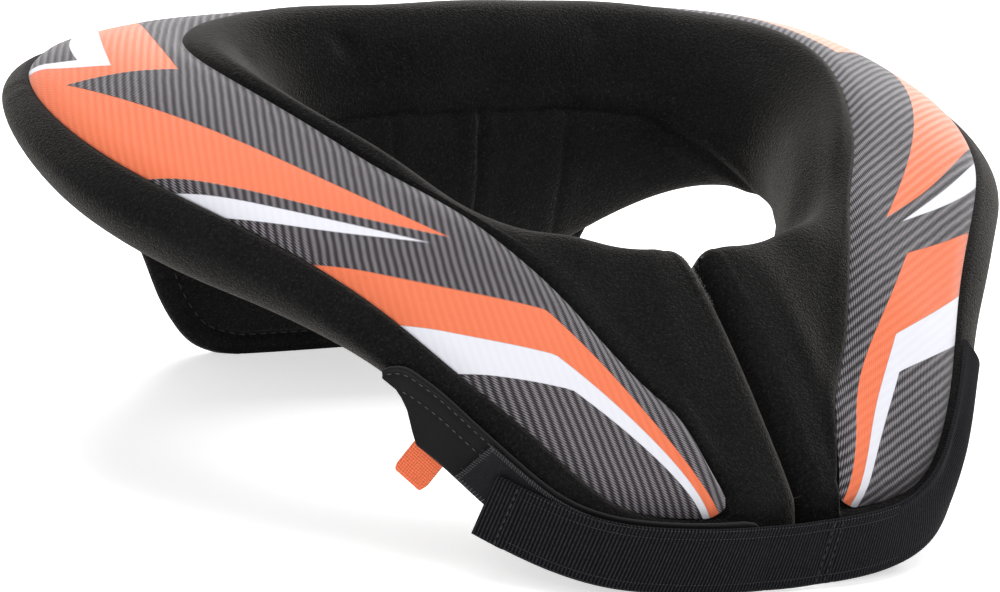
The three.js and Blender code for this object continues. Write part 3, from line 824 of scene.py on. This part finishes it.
def empty_tree(name, sizes):
    """A tree of geometry nodes that takes a mesh, named sizes and a material, and what it is given."""
    tree = bpy.data.node_groups.new(name, "GeometryNodeTree")
    sockets = [("Geometry", "INPUT", "NodeSocketGeometry")]
    sockets += [(size, "INPUT", "NodeSocketFloat") for size in sizes]
    sockets += [("Material", "INPUT", "NodeSocketMaterial"), ("Geometry", "OUTPUT", "NodeSocketGeometry")]
    for label, way, kind in sockets:
        tree.interface.new_socket(label, in_out=way, socket_type=kind)
    return tree, add_node(tree, "NodeGroupInput").outputs


def close_tree(tree, instances, material):
    solid = from_node(tree, "GeometryNodeRealizeInstances", {"Geometry": instances})
    dressed = from_node(tree, "GeometryNodeSetMaterial", {"Geometry": solid, "Material": material})
    add_node(tree, "NodeGroupOutput", {"Geometry": dressed})


def stitch_tree():
    """Plump threads laid end to end along each line, flat to the cloth under them."""
    tree, given = empty_tree("rows_of_stitches", ("Stitch", "Space", "Thread"))
    line = from_node(tree, "GeometryNodeMeshToCurve", {"Mesh": given["Geometry"]})
    step = calc(tree, "ADD", given["Stitch"], given["Space"])
    row = from_node(tree, "GeometryNodeResampleCurve", {"Curve": line, "Length": step}, mode="LENGTH")
    bead = from_node(tree, "GeometryNodeMeshUVSphere", {"Segments": 8, "Rings": 5, "Radius": 1.0})
    bead = from_node(tree, "GeometryNodeSetShadeSmooth", {"Geometry": bead})
    half = calc(tree, "MULTIPLY", given["Stitch"], 0.5)
    size = from_node(tree, "ShaderNodeCombineXYZ", {"X": half, "Y": given["Thread"], "Z": given["Thread"]})
    tangent = from_node(tree, "GeometryNodeInputTangent")
    cloth = from_node(tree, "GeometryNodeInputNamedAttribute", {"Name": "outwards"}, data_type="FLOAT_VECTOR")
    turn = from_node(tree, "FunctionNodeAlignRotationToVector", {"Vector": tangent}, axis="X")
    turn = from_node(tree, "FunctionNodeAlignRotationToVector", {"Rotation": turn, "Vector": cloth},
                     axis="Z", pivot_axis="X")
    laid = from_node(tree, "GeometryNodeInstanceOnPoints",
                     {"Points": row, "Instance": bead, "Rotation": turn, "Scale": size})
    close_tree(tree, laid, given["Material"])
    return tree


def grown_piece(name, base, tree, values):
    """The plain mesh that a tree of geometry nodes makes from a base mesh, riding on the collar."""
    source = bpy.data.objects.new(name + "_base", base)
    bpy.context.collection.objects.link(source)
    grower = source.modifiers.new("grower", "NODES")
    grower.node_group = tree
    for socket in tree.interface.items_tree:
        if socket.in_out == "INPUT" and socket.name in values:
            grower[socket.identifier] = values[socket.name]
    made = bpy.data.meshes.new_from_object(source.evaluated_get(bpy.context.evaluated_depsgraph_get()))
    bpy.data.objects.remove(source)
    bpy.data.meshes.remove(base)
    made.name = name
    piece = bpy.data.objects.new(name, made)
    bpy.context.collection.objects.link(piece)
    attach(piece, "root")
    return piece


STITCHES = stitch_tree()


def sewn_rows(name, lines, stitch, space, thread, material):
    """Rows of stitches; each line is its points in millimetres and the cloth's outward direction at each."""
    edges, first = [], 0
    for points, outwards in lines:
        edges += [(first + k, first + k + 1) for k in range(len(points) - 1)]
        first += len(points)
    base = bpy.data.meshes.new(name + "_lines")
    base.from_pydata((np.concatenate([points for points, outwards in lines]) * MM).tolist(), edges, [])
    stored = base.attributes.new("outwards", "FLOAT_VECTOR", "POINT")
    stored.data.foreach_set("vector", np.concatenate([outwards for points, outwards in lines]).ravel())
    sizes = {"Stitch": stitch * MM, "Space": space * MM, "Thread": thread * MM, "Material": material}
    return grown_piece(name, base, STITCHES, sizes)


def sewing_thread(name, colour):
    """Twisted thread: a faint sheen and fine twist lines."""
    material, tree, shader = new_material(name)
    place = add_node(tree, "ShaderNodeTexCoord").outputs["Object"]
    twist = noise(tree, place, 5200, 1, 0.5)
    dark = tuple(0.5 * c for c in colour) + (1,)
    tone = blended(tree, spread(tree, twist, 0.35, 0.65), dark, colour + (1,))
    tree.links.new(tone, shader.inputs["Base Color"])
    bumped(tree, shader, twist, 0.4, 0.0002)
    shader.inputs["Roughness"].default_value = 0.55
    shader.inputs["Specular IOR Level"].default_value = 0.35
    shader.inputs["Sheen Weight"].default_value = 0.1
    return material


DARK_THREAD = sewing_thread("dark_sewing_thread", (0.020, 0.020, 0.022))
seam_share = np.array([np.interp(FLAP_BORDER, far[::-1], FLAP_SHARES[::-1]) for far in from_edge.T])
seam_xz = middle + (outline - middle) * seam_share[:, None]
seam_half = np.array([np.interp(s, FLAP_SHARES, column) for s, column in zip(seam_share, half.T)])
seam_sway = np.array([np.interp(s, FLAP_SHARES, column) for s, column in zip(seam_share, sway.T)])
seam_y = flap_y + FLAP_LEAN * seam_xz[:, 1] + seam_sway
low_seam = np.roll(np.arange(len(outline)), -np.argmax(seam_xz[:, 1] + 0.001 * seam_xz[:, 0]))
low_seam = low_seam[seam_xz[low_seam, 1] < 44]
seam_lines = []
for side in (-1, 1):
    points = np.stack([seam_xz[:, 0], seam_y + side * (seam_half + 0.05), seam_xz[:, 1]], -1)[low_seam]
    seam_lines.append((points, np.tile([0.0, side, 0.0], (len(points), 1))))
sewn_rows("flap_stitches", seam_lines, 2.6, 0.9, 0.22, DARK_THREAD)

# BASE PATCH
# A thin strip of flat black cloth sewn along the wearer's right front arm with two rows of stitches.
# It carries the fastening patch and the tab; its rear end is rounded, its front end goes under the strap.
ANCHOR_THICK = 1.5
ANCHOR_PATH = [(-55, 42.5, 0.8), (-50, 38, 0.8), (-45, 32, 0.8), (-39, 24.5, 0.8), (-32, 16.2, 0.8),
               (-22, 11.4, 0.8), (-7, 10.6, 1.2)]
ANCHOR_SPAN = [(-58, 2.2, 4.6), (-57.2, 2.0, 6.3), (-56, 1.6, 8.0), (-55, 0.4, 8.9), (-54, -1.8, 9.25),
               (-53, -6.4, 9.25), (-52.2, -9.25, 9.25), (-7.6, -9.25, 9.25), (-6, -9.25, 8.6),
               (-5, -9.25, 6.8)]
ANCHOR_ROWS = [(1.9, -57, 160), (6.6, -54.6, 150)]
FLOOR_GAP = 0.3


def band_lines(path, angles, upright):
    """Middle line, outward face and upward edge direction of a band that follows the rim, at each angle."""
    table = np.array(path, float)
    height, out = natural_cubic(table[:, 0], table[:, 1]), natural_cubic(table[:, 0], table[:, 2])

    def at(angle):
        reach = CURVES["rimR"](np.maximum(np.abs(angle), END_ANGLE)) + out(angle)
        turn = np.radians(angle)
        return np.stack([reach * np.sin(turn), HOLE_Y - reach * np.cos(turn), height(angle)], -1)
    along = at(angles + 0.5) - at(angles - 0.5)
    along /= np.linalg.norm(along, axis=-1, keepdims=True)
    face = np.stack([along[..., 1], -along[..., 0], 0 * along[..., 0]], -1)
    face /= np.linalg.norm(face, axis=-1, keepdims=True)
    up = np.broadcast_to([0.0, 0.0, 1.0], face.shape) if upright else np.cross(face, along)
    return at(angles), face, up / np.linalg.norm(up, axis=-1, keepdims=True)


def on_band(path, angles, up_by, out_by, upright):
    """Points at distances upwards and outwards from a band's inner middle line."""
    angles, up_by, out_by = np.broadcast_arrays(angles, up_by, out_by)
    middle, face, up = band_lines(path, angles, upright)
    spots = middle + up * up_by[..., None] + face * out_by[..., None]
    return np.concatenate([spots[..., :2], np.maximum(spots[..., 2:], FLOOR_GAP)], -1), face


def band_profile(thick, columns, edge):
    """Closed outline of a band with rounded edges: share across from -1 to 1, and how far out."""
    share = np.sin(np.linspace(-0.5, 0.5, columns) * math.pi)
    swell = np.sqrt(1 - (1 - np.clip((1 - np.abs(share)) / edge, 0, 1)) ** 2) * thick / 2
    outer = np.stack([share, thick / 2 + swell], -1)
    inner = np.stack([share, thick / 2 - swell], -1)
    return np.concatenate([outer, inner[-2:0:-1]])


def flat_cloth(name, low, high, scale):
    """Close plain cloth: fine crossed threads, a little worn."""
    material, tree, shader = new_material(name)
    place = add_node(tree, "ShaderNodeTexCoord").outputs["Object"]
    thread = noise(tree, place, scale, 2, 0.55)
    worn = noise(tree, place, 90, 3, 0.5)
    colour = blended(tree, calc(tree, "MULTIPLY", thread, worn), low, high)
    tree.links.new(colour, shader.inputs["Base Color"])
    bumped(tree, shader, thread, 0.4, 0.0003)
    shader.inputs["Roughness"].default_value = 0.85
    shader.inputs["Specular IOR Level"].default_value = 0.15
    shader.inputs["Sheen Weight"].default_value = 0.10
    return material


anchor_angles = spaced([(-58, 44), (-52, 120), (-8, 19), (-5, 0)])
span_angle, span_low, span_top = zip(*ANCHOR_SPAN)
anchor_low = np.interp(anchor_angles, span_angle, span_low)[:, None]
anchor_top = np.interp(anchor_angles, span_angle, span_top)[:, None]
anchor_profile = band_profile(ANCHOR_THICK, 26, 0.09)
anchor_up = (anchor_low + anchor_top + (anchor_top - anchor_low) * anchor_profile[:, 0]) / 2
# The hem: the cloth is turned under along its upper edge, which stands as a low ridge.
outer_face = anchor_profile[:, 1] > ANCHOR_THICK / 2
below_top = anchor_top - anchor_up
anchor_out = anchor_profile[:, 1] + 0.35 * bell(below_top - 0.5, 0.6) * outer_face
for row, rear, count in ANCHOR_ROWS:
    anchor_out = anchor_out - 0.2 * bell(below_top - row, 0.7) * outer_face
anchor_grid = on_band(ANCHOR_PATH, anchor_angles[:, None], anchor_up, anchor_out, True)[0]
BASE_CLOTH = flat_cloth("base_black_cloth", (0.003, 0.003, 0.0035, 1), (0.016, 0.016, 0.017, 1), 1700)
anchor = closed_grid(anchor_grid, BASE_CLOTH, "base_cloth_strip")
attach(anchor, "root")
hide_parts("strap_anchor")
GREY_THREAD = sewing_thread("grey_sewing_thread", (0.085, 0.085, 0.09))
anchor_lines = []
for row, rear, count in ANCHOR_ROWS:
    row_angles = np.linspace(rear, -30, count)
    row_up = np.interp(row_angles, anchor_angles, anchor_top[:, 0]) - row
    anchor_lines.append(on_band(ANCHOR_PATH, row_angles, row_up, ANCHOR_THICK + 0.02, True))
anchor_stitches = sewn_rows("base_stitches", anchor_lines, 1.35, 1.0, 0.17, GREY_THREAD)

# FASTENING PATCH
# A short piece of looped cloth on the base strip, oversewn all round, that the strap's end grips.
# Its face is a thick fuzz of fine loops.
LOOP_WIDE, LOOP_THICK, LOOP_OUT = 16.0, 1.0, 2.8
LOOP_REAR_LOW, LOOP_REAR_TOP, LOOP_FRONT = -46.0, -41.5, -27.0
OVERCAST_LONG, OVERCAST_ACROSS, FUZZ_ROWS = 43, 18, 46
LOOP_PATH = [(angle, z, LOOP_OUT) for angle, z, out in ANCHOR_PATH]
loop_profile = band_profile(LOOP_THICK, 20, 0.07)
loop_rear = LOOP_REAR_LOW + (LOOP_REAR_TOP - LOOP_REAR_LOW) * (loop_profile[:, 0] + 1) / 2
loop_angles = loop_rear + (LOOP_FRONT - loop_rear) * np.linspace(0, 1, 80)[:, None]
loop_up = loop_profile[:, 0] * LOOP_WIDE / 2
loop_grid = on_band(LOOP_PATH, loop_angles, loop_up, loop_profile[:, 1], True)[0]
LOOP_CLOTH = flat_cloth("loop_black_cloth", (0.003, 0.003, 0.004, 1), (0.022, 0.022, 0.025, 1), 1300)
loop = closed_grid(loop_grid, LOOP_CLOTH, "loop_cloth_patch")
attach(loop, "root")
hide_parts("loop_patch")


def fuzz_tree():
    """Fine bent fibres standing at random on a face."""
    tree, given = empty_tree("standing_fibres", ("Density", "Length", "Thread", "Tilt"))
    spread_out = add_node(tree, "GeometryNodeDistributePointsOnFaces",
                          {"Mesh": given["Geometry"], "Density": given["Density"], "Seed": 7})
    reach = calc(tree, "MULTIPLY", given["Length"], 0.7)
    bow = from_node(tree, "GeometryNodeCurveQuadraticBezier", {
        "Resolution": 4, "Start": (0, 0, 0),
        "Middle": from_node(tree, "ShaderNodeCombineXYZ", {"Z": given["Length"]}),
        "End": from_node(tree, "ShaderNodeCombineXYZ", {"X": reach, "Z": reach})})
    ring = from_node(tree, "GeometryNodeCurvePrimitiveCircle", {"Resolution": 3, "Radius": given["Thread"]})
    strand = from_node(tree, "GeometryNodeCurveToMesh",
                       {"Curve": bow, "Profile Curve": ring, "Fill Caps": True})
    tilt = calc(tree, "MULTIPLY", given["Tilt"], -1.0)
    low = from_node(tree, "ShaderNodeCombineXYZ", {"X": tilt, "Y": tilt, "Z": -math.pi})
    high = from_node(tree, "ShaderNodeCombineXYZ", {"X": given["Tilt"], "Y": given["Tilt"], "Z": math.pi})
    turn = from_node(tree, "FunctionNodeRandomValue", {"Min": low, "Max": high, "Seed": 11},
                     data_type="FLOAT_VECTOR")
    turn = from_node(tree, "FunctionNodeEulerToRotation", {"Euler": turn})
    turn = from_node(tree, "FunctionNodeRotateRotation",
                     {"Rotation": spread_out.outputs["Rotation"], "Rotate By": turn},
                     rotation_space="LOCAL")
    size = add_node(tree, "FunctionNodeRandomValue", {2: 0.6, 3: 1.25, "Seed": 5}, data_type="FLOAT")
    standing = from_node(tree, "GeometryNodeInstanceOnPoints", {
        "Points": spread_out.outputs["Points"], "Instance": strand, "Rotation": turn,
        "Scale": size.outputs[1]})
    close_tree(tree, standing, given["Material"])
    return tree


FIBRES = fuzz_tree()


def grid_patch(name, grid):
    """A plain open mesh over a grid of points, to grow things on."""
    base = bpy.data.meshes.new(name)
    base.from_pydata((grid.reshape(-1, 3) * MM).tolist(), [], grid_faces(*grid.shape[:2], closed=False))
    return base


fuzz_face = loop_grid[:FUZZ_ROWS, 1:19]
loop_fuzz = grown_piece("loop_fibres", grid_patch("fuzz_ground", fuzz_face), FIBRES, {
    "Density": 9.0e6, "Length": 0.85 * MM, "Thread": 0.045 * MM, "Tilt": 0.9,
    "Material": sewing_thread("loop_fibre", (0.055, 0.055, 0.065))})
overcast = []
for edge_up, rear in ((LOOP_WIDE / 2, LOOP_REAR_TOP), (-LOOP_WIDE / 2, LOOP_REAR_LOW)):
    for angle in np.linspace(rear, LOOP_FRONT, OVERCAST_LONG + 1)[:-1]:
        overcast.append(on_band(LOOP_PATH, np.array([angle, angle + 0.2]), np.array([0.97, 0.89]) * edge_up,
                                LOOP_THICK, True))
for k in range(OVERCAST_ACROSS):
    share = np.array([k + 0.2, k + 0.5]) / OVERCAST_ACROSS
    rear = LOOP_REAR_LOW + (LOOP_REAR_TOP - LOOP_REAR_LOW) * share
    overcast.append(on_band(LOOP_PATH, rear + [0.1, 0.4], (share - 0.5) * LOOP_WIDE, LOOP_THICK, True))
loop_stitches = sewn_rows("loop_overcasting", overcast, 0.85, 0.6, 0.13, GREY_THREAD)

# SPLIT FRINGE
# Cut ends of the cover's threads, which stand out light along the upper edge of the wearer's right arm
# where its end is cut off at the split.
FRINGE_KEYS = (3.9, 4.32)
fringe_columns = np.nonzero((column_keys >= FRINGE_KEYS[0]) & (column_keys <= FRINGE_KEYS[1]))[0]
fringe_rows = np.arange(ROWS - END_COUNT + 1, ROWS - END_COUNT + 7)
fringe_face = collar_grid[np.ix_(fringe_rows, fringe_columns)]
if np.cross(fringe_face[0, 1] - fringe_face[0, 0], fringe_face[1, 0] - fringe_face[0, 0])[2] < 0:
    fringe_face = fringe_face[:, ::-1]
grown_piece("split_fringe", grid_patch("fringe_ground", fringe_face), FIBRES, {
    "Density": 1.6e6, "Length": 0.8 * MM, "Thread": 0.035 * MM, "Tilt": 0.8,
    "Material": sewing_thread("fringe_thread", (0.22, 0.21, 0.20))})

# PULL TAB
# A short length of woven orange tape folded in two, its ends sewn under the base strip.
TAB_ANGLE, TAB_WIDE, TAB_LONG, TAPE_PITCH = -49.5, 10.0, 15.0, 1.5
TAB_LAYER, TAB_FOLD_GAP, TAB_TOP_Z, TAB_SLOPE, TAB_SET = 1.2, 0.8, 33.0, 0.62, 0.1
tab_deep = 2 * TAB_LAYER + TAB_FOLD_GAP
tab_reach = CURVES["rimR"](abs(TAB_ANGLE)) - tab_deep / 2 + TAB_SET
a = math.radians(TAB_ANGLE)
tab_face = np.array([math.sin(a), -math.cos(a), 0])
tab_across = np.array([-tab_face[1], tab_face[0], -TAB_SLOPE])
tab_across /= np.linalg.norm(tab_across)
tab_down = np.cross(tab_across, tab_face)
tab_down /= np.linalg.norm(tab_down) * (1 if tab_down[2] < 0 else -1)
tab_top = np.array([tab_reach * math.sin(a), HOLE_Y - tab_reach * math.cos(a), TAB_TOP_Z])
bend = (TAB_LAYER + TAB_FOLD_GAP) / 2
straight = TAB_LONG - tab_deep / 2
line = [(-bend, s) for s in np.linspace(0, straight, 40)]
line += [(-bend * math.cos(t), straight + bend * math.sin(t)) for t in np.linspace(0, math.pi, 14)[1:-1]]
line += [(bend, s) for s in np.linspace(straight, 0, 40)]
line = np.array(line)
line_along = np.gradient(line, axis=0)
line_along /= np.linalg.norm(line_along, axis=-1, keepdims=True)
line_out = np.stack([line_along[:, 1], -line_along[:, 0]], -1)
profile = band_profile(TAB_LAYER, 20, 0.12) * (TAB_WIDE / 2, 1)
narrow = 1 - 0.14 * ease(straight - 1.5, TAB_LONG, line[:, 1]) ** 2
spot = line[:, None, :] + line_out[:, None, :] * (profile[None, :, 1:] - TAB_LAYER / 2)
tab_grid = (tab_top + tab_face * spot[..., :1] + tab_down * spot[..., 1:]
            + tab_across * (profile[None, :, :1] * narrow[:, None, None]))


def woven_tape():
    """Basket weave of thick orange thread, with painted shade darker in the dips between the crossings."""
    material, tree, shader = new_material("woven_orange_tape")
    uv = from_node(tree, "ShaderNodeUVMap", uv_map="weave")
    parts = add_node(tree, "ShaderNodeSeparateXYZ", {"Vector": uv})
    crossed = []
    for way in ("ADD", "SUBTRACT"):
        slant = calc(tree, way, parts.outputs[0], parts.outputs[1])
        crossed.append(calc(tree, "SINE", calc(tree, "MULTIPLY", slant, 2 * math.pi / TAPE_PITCH)))
    knot = calc(tree, "ADD", calc(tree, "MULTIPLY", calc(tree, "MULTIPLY", *crossed), 0.5), 0.5)
    place = add_node(tree, "ShaderNodeTexCoord").outputs["Object"]
    grain = noise(tree, place, 2400, 2, 0.6)
    # Painted shade: the colour darkens where the weave dips between its crossings, the same places the bump
    # sinks.
    tone = calc(tree, "MULTIPLY", spread(tree, knot, 0.1, 0.8), spread(tree, grain, 0.3, 0.7, 0.75, 1.0))
    colour = blended(tree, tone, (0.78, 0.115, 0.04, 1), (0.96, 0.235, 0.095, 1))
    tree.links.new(colour, shader.inputs["Base Color"])
    bumped(tree, shader, calc(tree, "ADD", knot, calc(tree, "MULTIPLY", grain, 0.3)), 0.7, 0.0006)
    shader.inputs["Roughness"].default_value = 0.7
    shader.inputs["Specular IOR Level"].default_value = 0.25
    shader.inputs["Sheen Weight"].default_value = 0.1
    return material


def give_uv(piece, name, per_point):
    """A UV map in millimetres from one pair of numbers for each point."""
    corners = np.empty(len(piece.data.loops), int)
    piece.data.loops.foreach_get("vertex_index", corners)
    piece.data.uv_layers.new(name=name).uv.foreach_set("vector", per_point[corners].ravel())


tab = closed_grid(tab_grid, woven_tape(), "tab_tape")
run_so_far = run_length(line)
tab_uv = np.stack(np.broadcast_arrays(profile[None, :, 0], run_so_far[:, None]), -1).reshape(-1, 2)
give_uv(tab, "weave", np.concatenate([tab_uv, [[0, 0], [0, run_so_far[-1]]]]))
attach(tab, "root")
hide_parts("pull_tab")

# STRAP
# Black ribbed webbing sewn to the wearer's left arm, drawn across the front and held on the fastening
# patch. Its free end is turned under and sewn down; a double row of stitches crosses it past the split.
STRAP_WIDE, STRAP_THICK = 18.0, 1.6
STRAP_PATH = [(-41.5, 20.3, 4.3), (-34, 15.6, 4.3), (-26, 12, 4.3), (-12, 10, 3.4), (0, 9.6, 2.9),
              (12, 11, 2.2), (22, 14.5, 1.2), (32, 25, 0.9), (42, 35.5, 0.8), (51, 44, 0.8)]
STRAP_RIB, STRAP_RIB_DEEP, STRAP_HEM, STRAP_SELVAGE = 1.0, 0.28, 9.0, 6.3
STRAP_ROWS = 1300
strap_profile = band_profile(STRAP_THICK - STRAP_RIB_DEEP, 22, 0.08)
strap_up_by = strap_profile[:, 0] * STRAP_WIDE / 2
line_angles = np.linspace(-41.5, 51, 400)
line_length = run_length(band_lines(STRAP_PATH, line_angles, False)[0])
strap_run = np.linspace(0, line_length[-1], STRAP_ROWS)
# The ribs lean: across the strap each row of points slides along it.
STRAP_LEAN = 0.3
slide = STRAP_LEAN * ease(8, 60, strap_run) * ease(line_length[-1], line_length[-1] - 30, strap_run)
strap_length = np.clip(strap_run[:, None] + slide[:, None] * strap_up_by, 0, line_length[-1])
strap_angles = np.interp(strap_length, line_length, line_angles)
outer_side = strap_profile[:, 1] > (STRAP_THICK - STRAP_RIB_DEEP) / 2
ribbed = np.abs(np.sin(math.pi * strap_run / STRAP_RIB)) ** 0.8
in_field = np.abs(strap_up_by) < STRAP_SELVAGE
rib_depth = np.where(in_field, 1.0, 0.62) * np.minimum(1, (STRAP_WIDE / 2 - np.abs(strap_up_by)) / 0.5)
rib_way = np.where(outer_side, 0.5, -0.5) * STRAP_RIB_DEEP
lift = strap_profile[:, 1] + STRAP_RIB_DEEP / 2 + ribbed[:, None] * rib_depth * rib_way
lift = lift - 0.16 * outer_side * bell(np.abs(strap_up_by) - STRAP_SELVAGE, 0.35)
lift = lift + 0.45 * ease(STRAP_HEM + 0.35, STRAP_HEM - 0.35, strap_length) * outer_side
CROSS_ROWS = (5.0, 6.3)
for angle in CROSS_ROWS:
    lift = lift - 0.22 * outer_side * bell(strap_length - np.interp(angle, line_angles, line_length), 0.55)


def cover_reach(angle, height):
    """How far out the collar's rim is, at an angle and a height."""
    keys = np.linspace(KEY_OUT, KEY_OUT + 2, 30)
    line = cover_points(np.abs(angle).ravel()[:, None], keys)
    found = [np.interp(z, rim[::-1, 1], rim[::-1, 0]) for z, rim in zip(height.ravel(), line)]
    return np.reshape(found, angle.shape)


strap_grid = on_band(STRAP_PATH, strap_angles, strap_up_by, lift, False)[0]
# Towards its sewn end the webbing lies against the rim and bends with it.
from_middle = strap_grid[..., :2] - (0, HOLE_Y)
strap_reach = np.linalg.norm(from_middle, axis=-1)
around = np.degrees(np.arctan2(from_middle[..., 0], -from_middle[..., 1]))
sewn_end = np.nonzero(strap_angles[:, 0] > 16)[0]
rim_reach = cover_reach(around[sewn_end], strap_grid[sewn_end, :, 2])
spare = strap_reach[sewn_end] - lift[sewn_end] - rim_reach - 0.9
drawn_in = np.maximum(spare, 0) * 0.9 * ease(18, 36, strap_angles[sewn_end])
strap_grid[sewn_end, :, :2] -= from_middle[sewn_end] * (drawn_in / strap_reach[sewn_end])[..., None]


def ribbed_webbing():
    """Tight black thread: faintly glossy ribs with fine threads along them, and painted shade that leaves the
    grooves between ribs near black.
    """
    material, tree, shader = new_material("ribbed_black_webbing")
    place = add_node(tree, "ShaderNodeTexCoord").outputs["Object"]
    thread = noise(tree, place, 2100, 2, 0.55)
    uv = from_node(tree, "ShaderNodeUVMap", uv_map="ribs")
    along = add_node(tree, "ShaderNodeSeparateXYZ", {"Vector": uv}).outputs[1]
    # Painted shade: the colour is lightest on each rib's back and near black in the grooves between the ribs.
    back = spread(tree, wave(tree, calc(tree, "ADD", along, STRAP_RIB / 2), STRAP_RIB), 0.45, 0.95)
    tone = calc(tree, "MULTIPLY", back, spread(tree, thread, 0.35, 0.65, 0.35, 1.0))
    colour = blended(tree, tone, (0.0006, 0.0006, 0.0010, 1), (0.027, 0.026, 0.032, 1))
    tree.links.new(colour, shader.inputs["Base Color"])
    bumped(tree, shader, thread, 0.35, 0.0003)
    shader.inputs["Roughness"].default_value = 0.75
    shader.inputs["Specular IOR Level"].default_value = 0.10
    return material


strap = closed_grid(strap_grid, ribbed_webbing(), "strap_band")
strap_uv = np.stack(np.broadcast_arrays(strap_up_by[None, :], strap_run[:, None]), -1).reshape(-1, 2)
give_uv(strap, "ribs", np.concatenate([strap_uv, [[0, 0], [0, strap_run[-1]]]]))
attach(strap, "root")
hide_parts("strap")
selvage_lines = [on_band(STRAP_PATH, np.linspace(-40, 17, 260), up_by, STRAP_THICK - 0.06, False)
                 for up_by in (8.45, 6.3, -6.3, -8.45)]
SELVAGE_THREAD = sewing_thread("selvage_thread", (0.035, 0.034, 0.038))
sewn_rows("strap_selvage", selvage_lines, 0.62, 0.38, 0.1, SELVAGE_THREAD)
cross_lines = []
for angle in CROSS_ROWS:
    across_up = np.linspace(-7.5, 7.5, 30)
    leaning = np.interp(angle, line_angles, line_length) + STRAP_LEAN * across_up
    leaning = np.interp(leaning, line_length, line_angles)
    cross_lines.append(on_band(STRAP_PATH, leaning, across_up, STRAP_THICK - 0.1, False))
hem_angle = np.interp(STRAP_HEM - 2.2, line_length, line_angles)
cross_lines.append(on_band(STRAP_PATH, hem_angle, np.linspace(-7.8, 7.8, 30), STRAP_THICK + 0.42, False))
sewn_rows("strap_stitches", cross_lines, 1.5, 0.7, 0.16, DARK_THREAD)

# STUDIO
# A pale floor without a horizon, a white surround and three broad soft lamps, as for a catalogue picture.
FLOOR_HALF = 6.0
floor_mesh = bpy.data.meshes.new("floor")
corners = [(x * FLOOR_HALF, y * FLOOR_HALF, 0) for x, y in ((-1, -1), (1, -1), (1, 1), (-1, 1))]
floor_mesh.from_pydata(corners, [], [(0, 1, 2, 3)])
floor = bpy.data.objects.new("floor", floor_mesh)
bpy.context.collection.objects.link(floor)
pale, tree, pale_shader = new_material("pale_floor")
pale_shader.inputs["Base Color"].default_value = (0.93, 0.93, 0.93, 1)
pale_shader.inputs["Emission Color"].default_value = (1, 1, 1, 1)
pale_shader.inputs["Emission Strength"].default_value = 0.6
pale_shader.inputs["Roughness"].default_value = 0.9
pale_shader.inputs["Specular IOR Level"].default_value = 0.1
floor_mesh.materials.append(pale)

world = bpy.data.worlds.new("surround")
world.use_nodes = True
world.node_tree.nodes["Background"].inputs[0].default_value = (1, 1, 1, 1)
world.node_tree.nodes["Background"].inputs[1].default_value = 0.5
bpy.context.scene.world = world


def soft_lamp(name, place, aim, size, power):
    lamp = bpy.data.lights.new(name, "AREA")
    lamp.shape, lamp.size, lamp.energy = "SQUARE", size, power
    holder = bpy.data.objects.new(name, lamp)
    bpy.context.collection.objects.link(holder)
    back = np.array(place, float) - np.array(aim, float)
    back /= np.linalg.norm(back)
    side = np.cross([0.0, 1.0, 0.001], back)
    side /= np.linalg.norm(side)
    rise_dir = np.cross(back, side)
    turned = np.eye(4)
    turned[:3, 0], turned[:3, 1], turned[:3, 2], turned[:3, 3] = side, rise_dir, back, place
    holder.matrix_world = Matrix(turned.tolist())


soft_lamp("lamp_above", (0.35, 0.45, 1.9), (0, 0, 0.05), 1.7, 34)
soft_lamp("lamp_behind", (1.3, 1.7, 0.9), (0, 0, 0.08), 1.0, 40)
soft_lamp("lamp_front", (-1.5, -1.6, 1.3), (0, 0, 0.05), 1.2, 7)

# CAMERA
# Before the wearer's right shoulder, a little above the collar, turned slightly.
camera_data = bpy.data.cameras.new("camera")
camera_data.lens, camera_data.sensor_width = 192.9, 36.0
camera = bpy.data.objects.new("camera", camera_data)
bpy.context.collection.objects.link(camera)
CAMERA_AXES = [(0.85717, -0.50488, 0.10180), (0.04399, 0.26872, 0.96223), (-0.51316, -0.82031, 0.25254)]
CAMERA_PLACE = (-0.7937, -1.2346, 0.4275)
placed = np.eye(4)
placed[:3, :3], placed[:3, 3] = np.transpose(CAMERA_AXES), CAMERA_PLACE
camera.matrix_world = Matrix(placed.tolist())
bpy.context.scene.camera = camera
bpy.context.scene.view_settings.view_transform = "Standard"
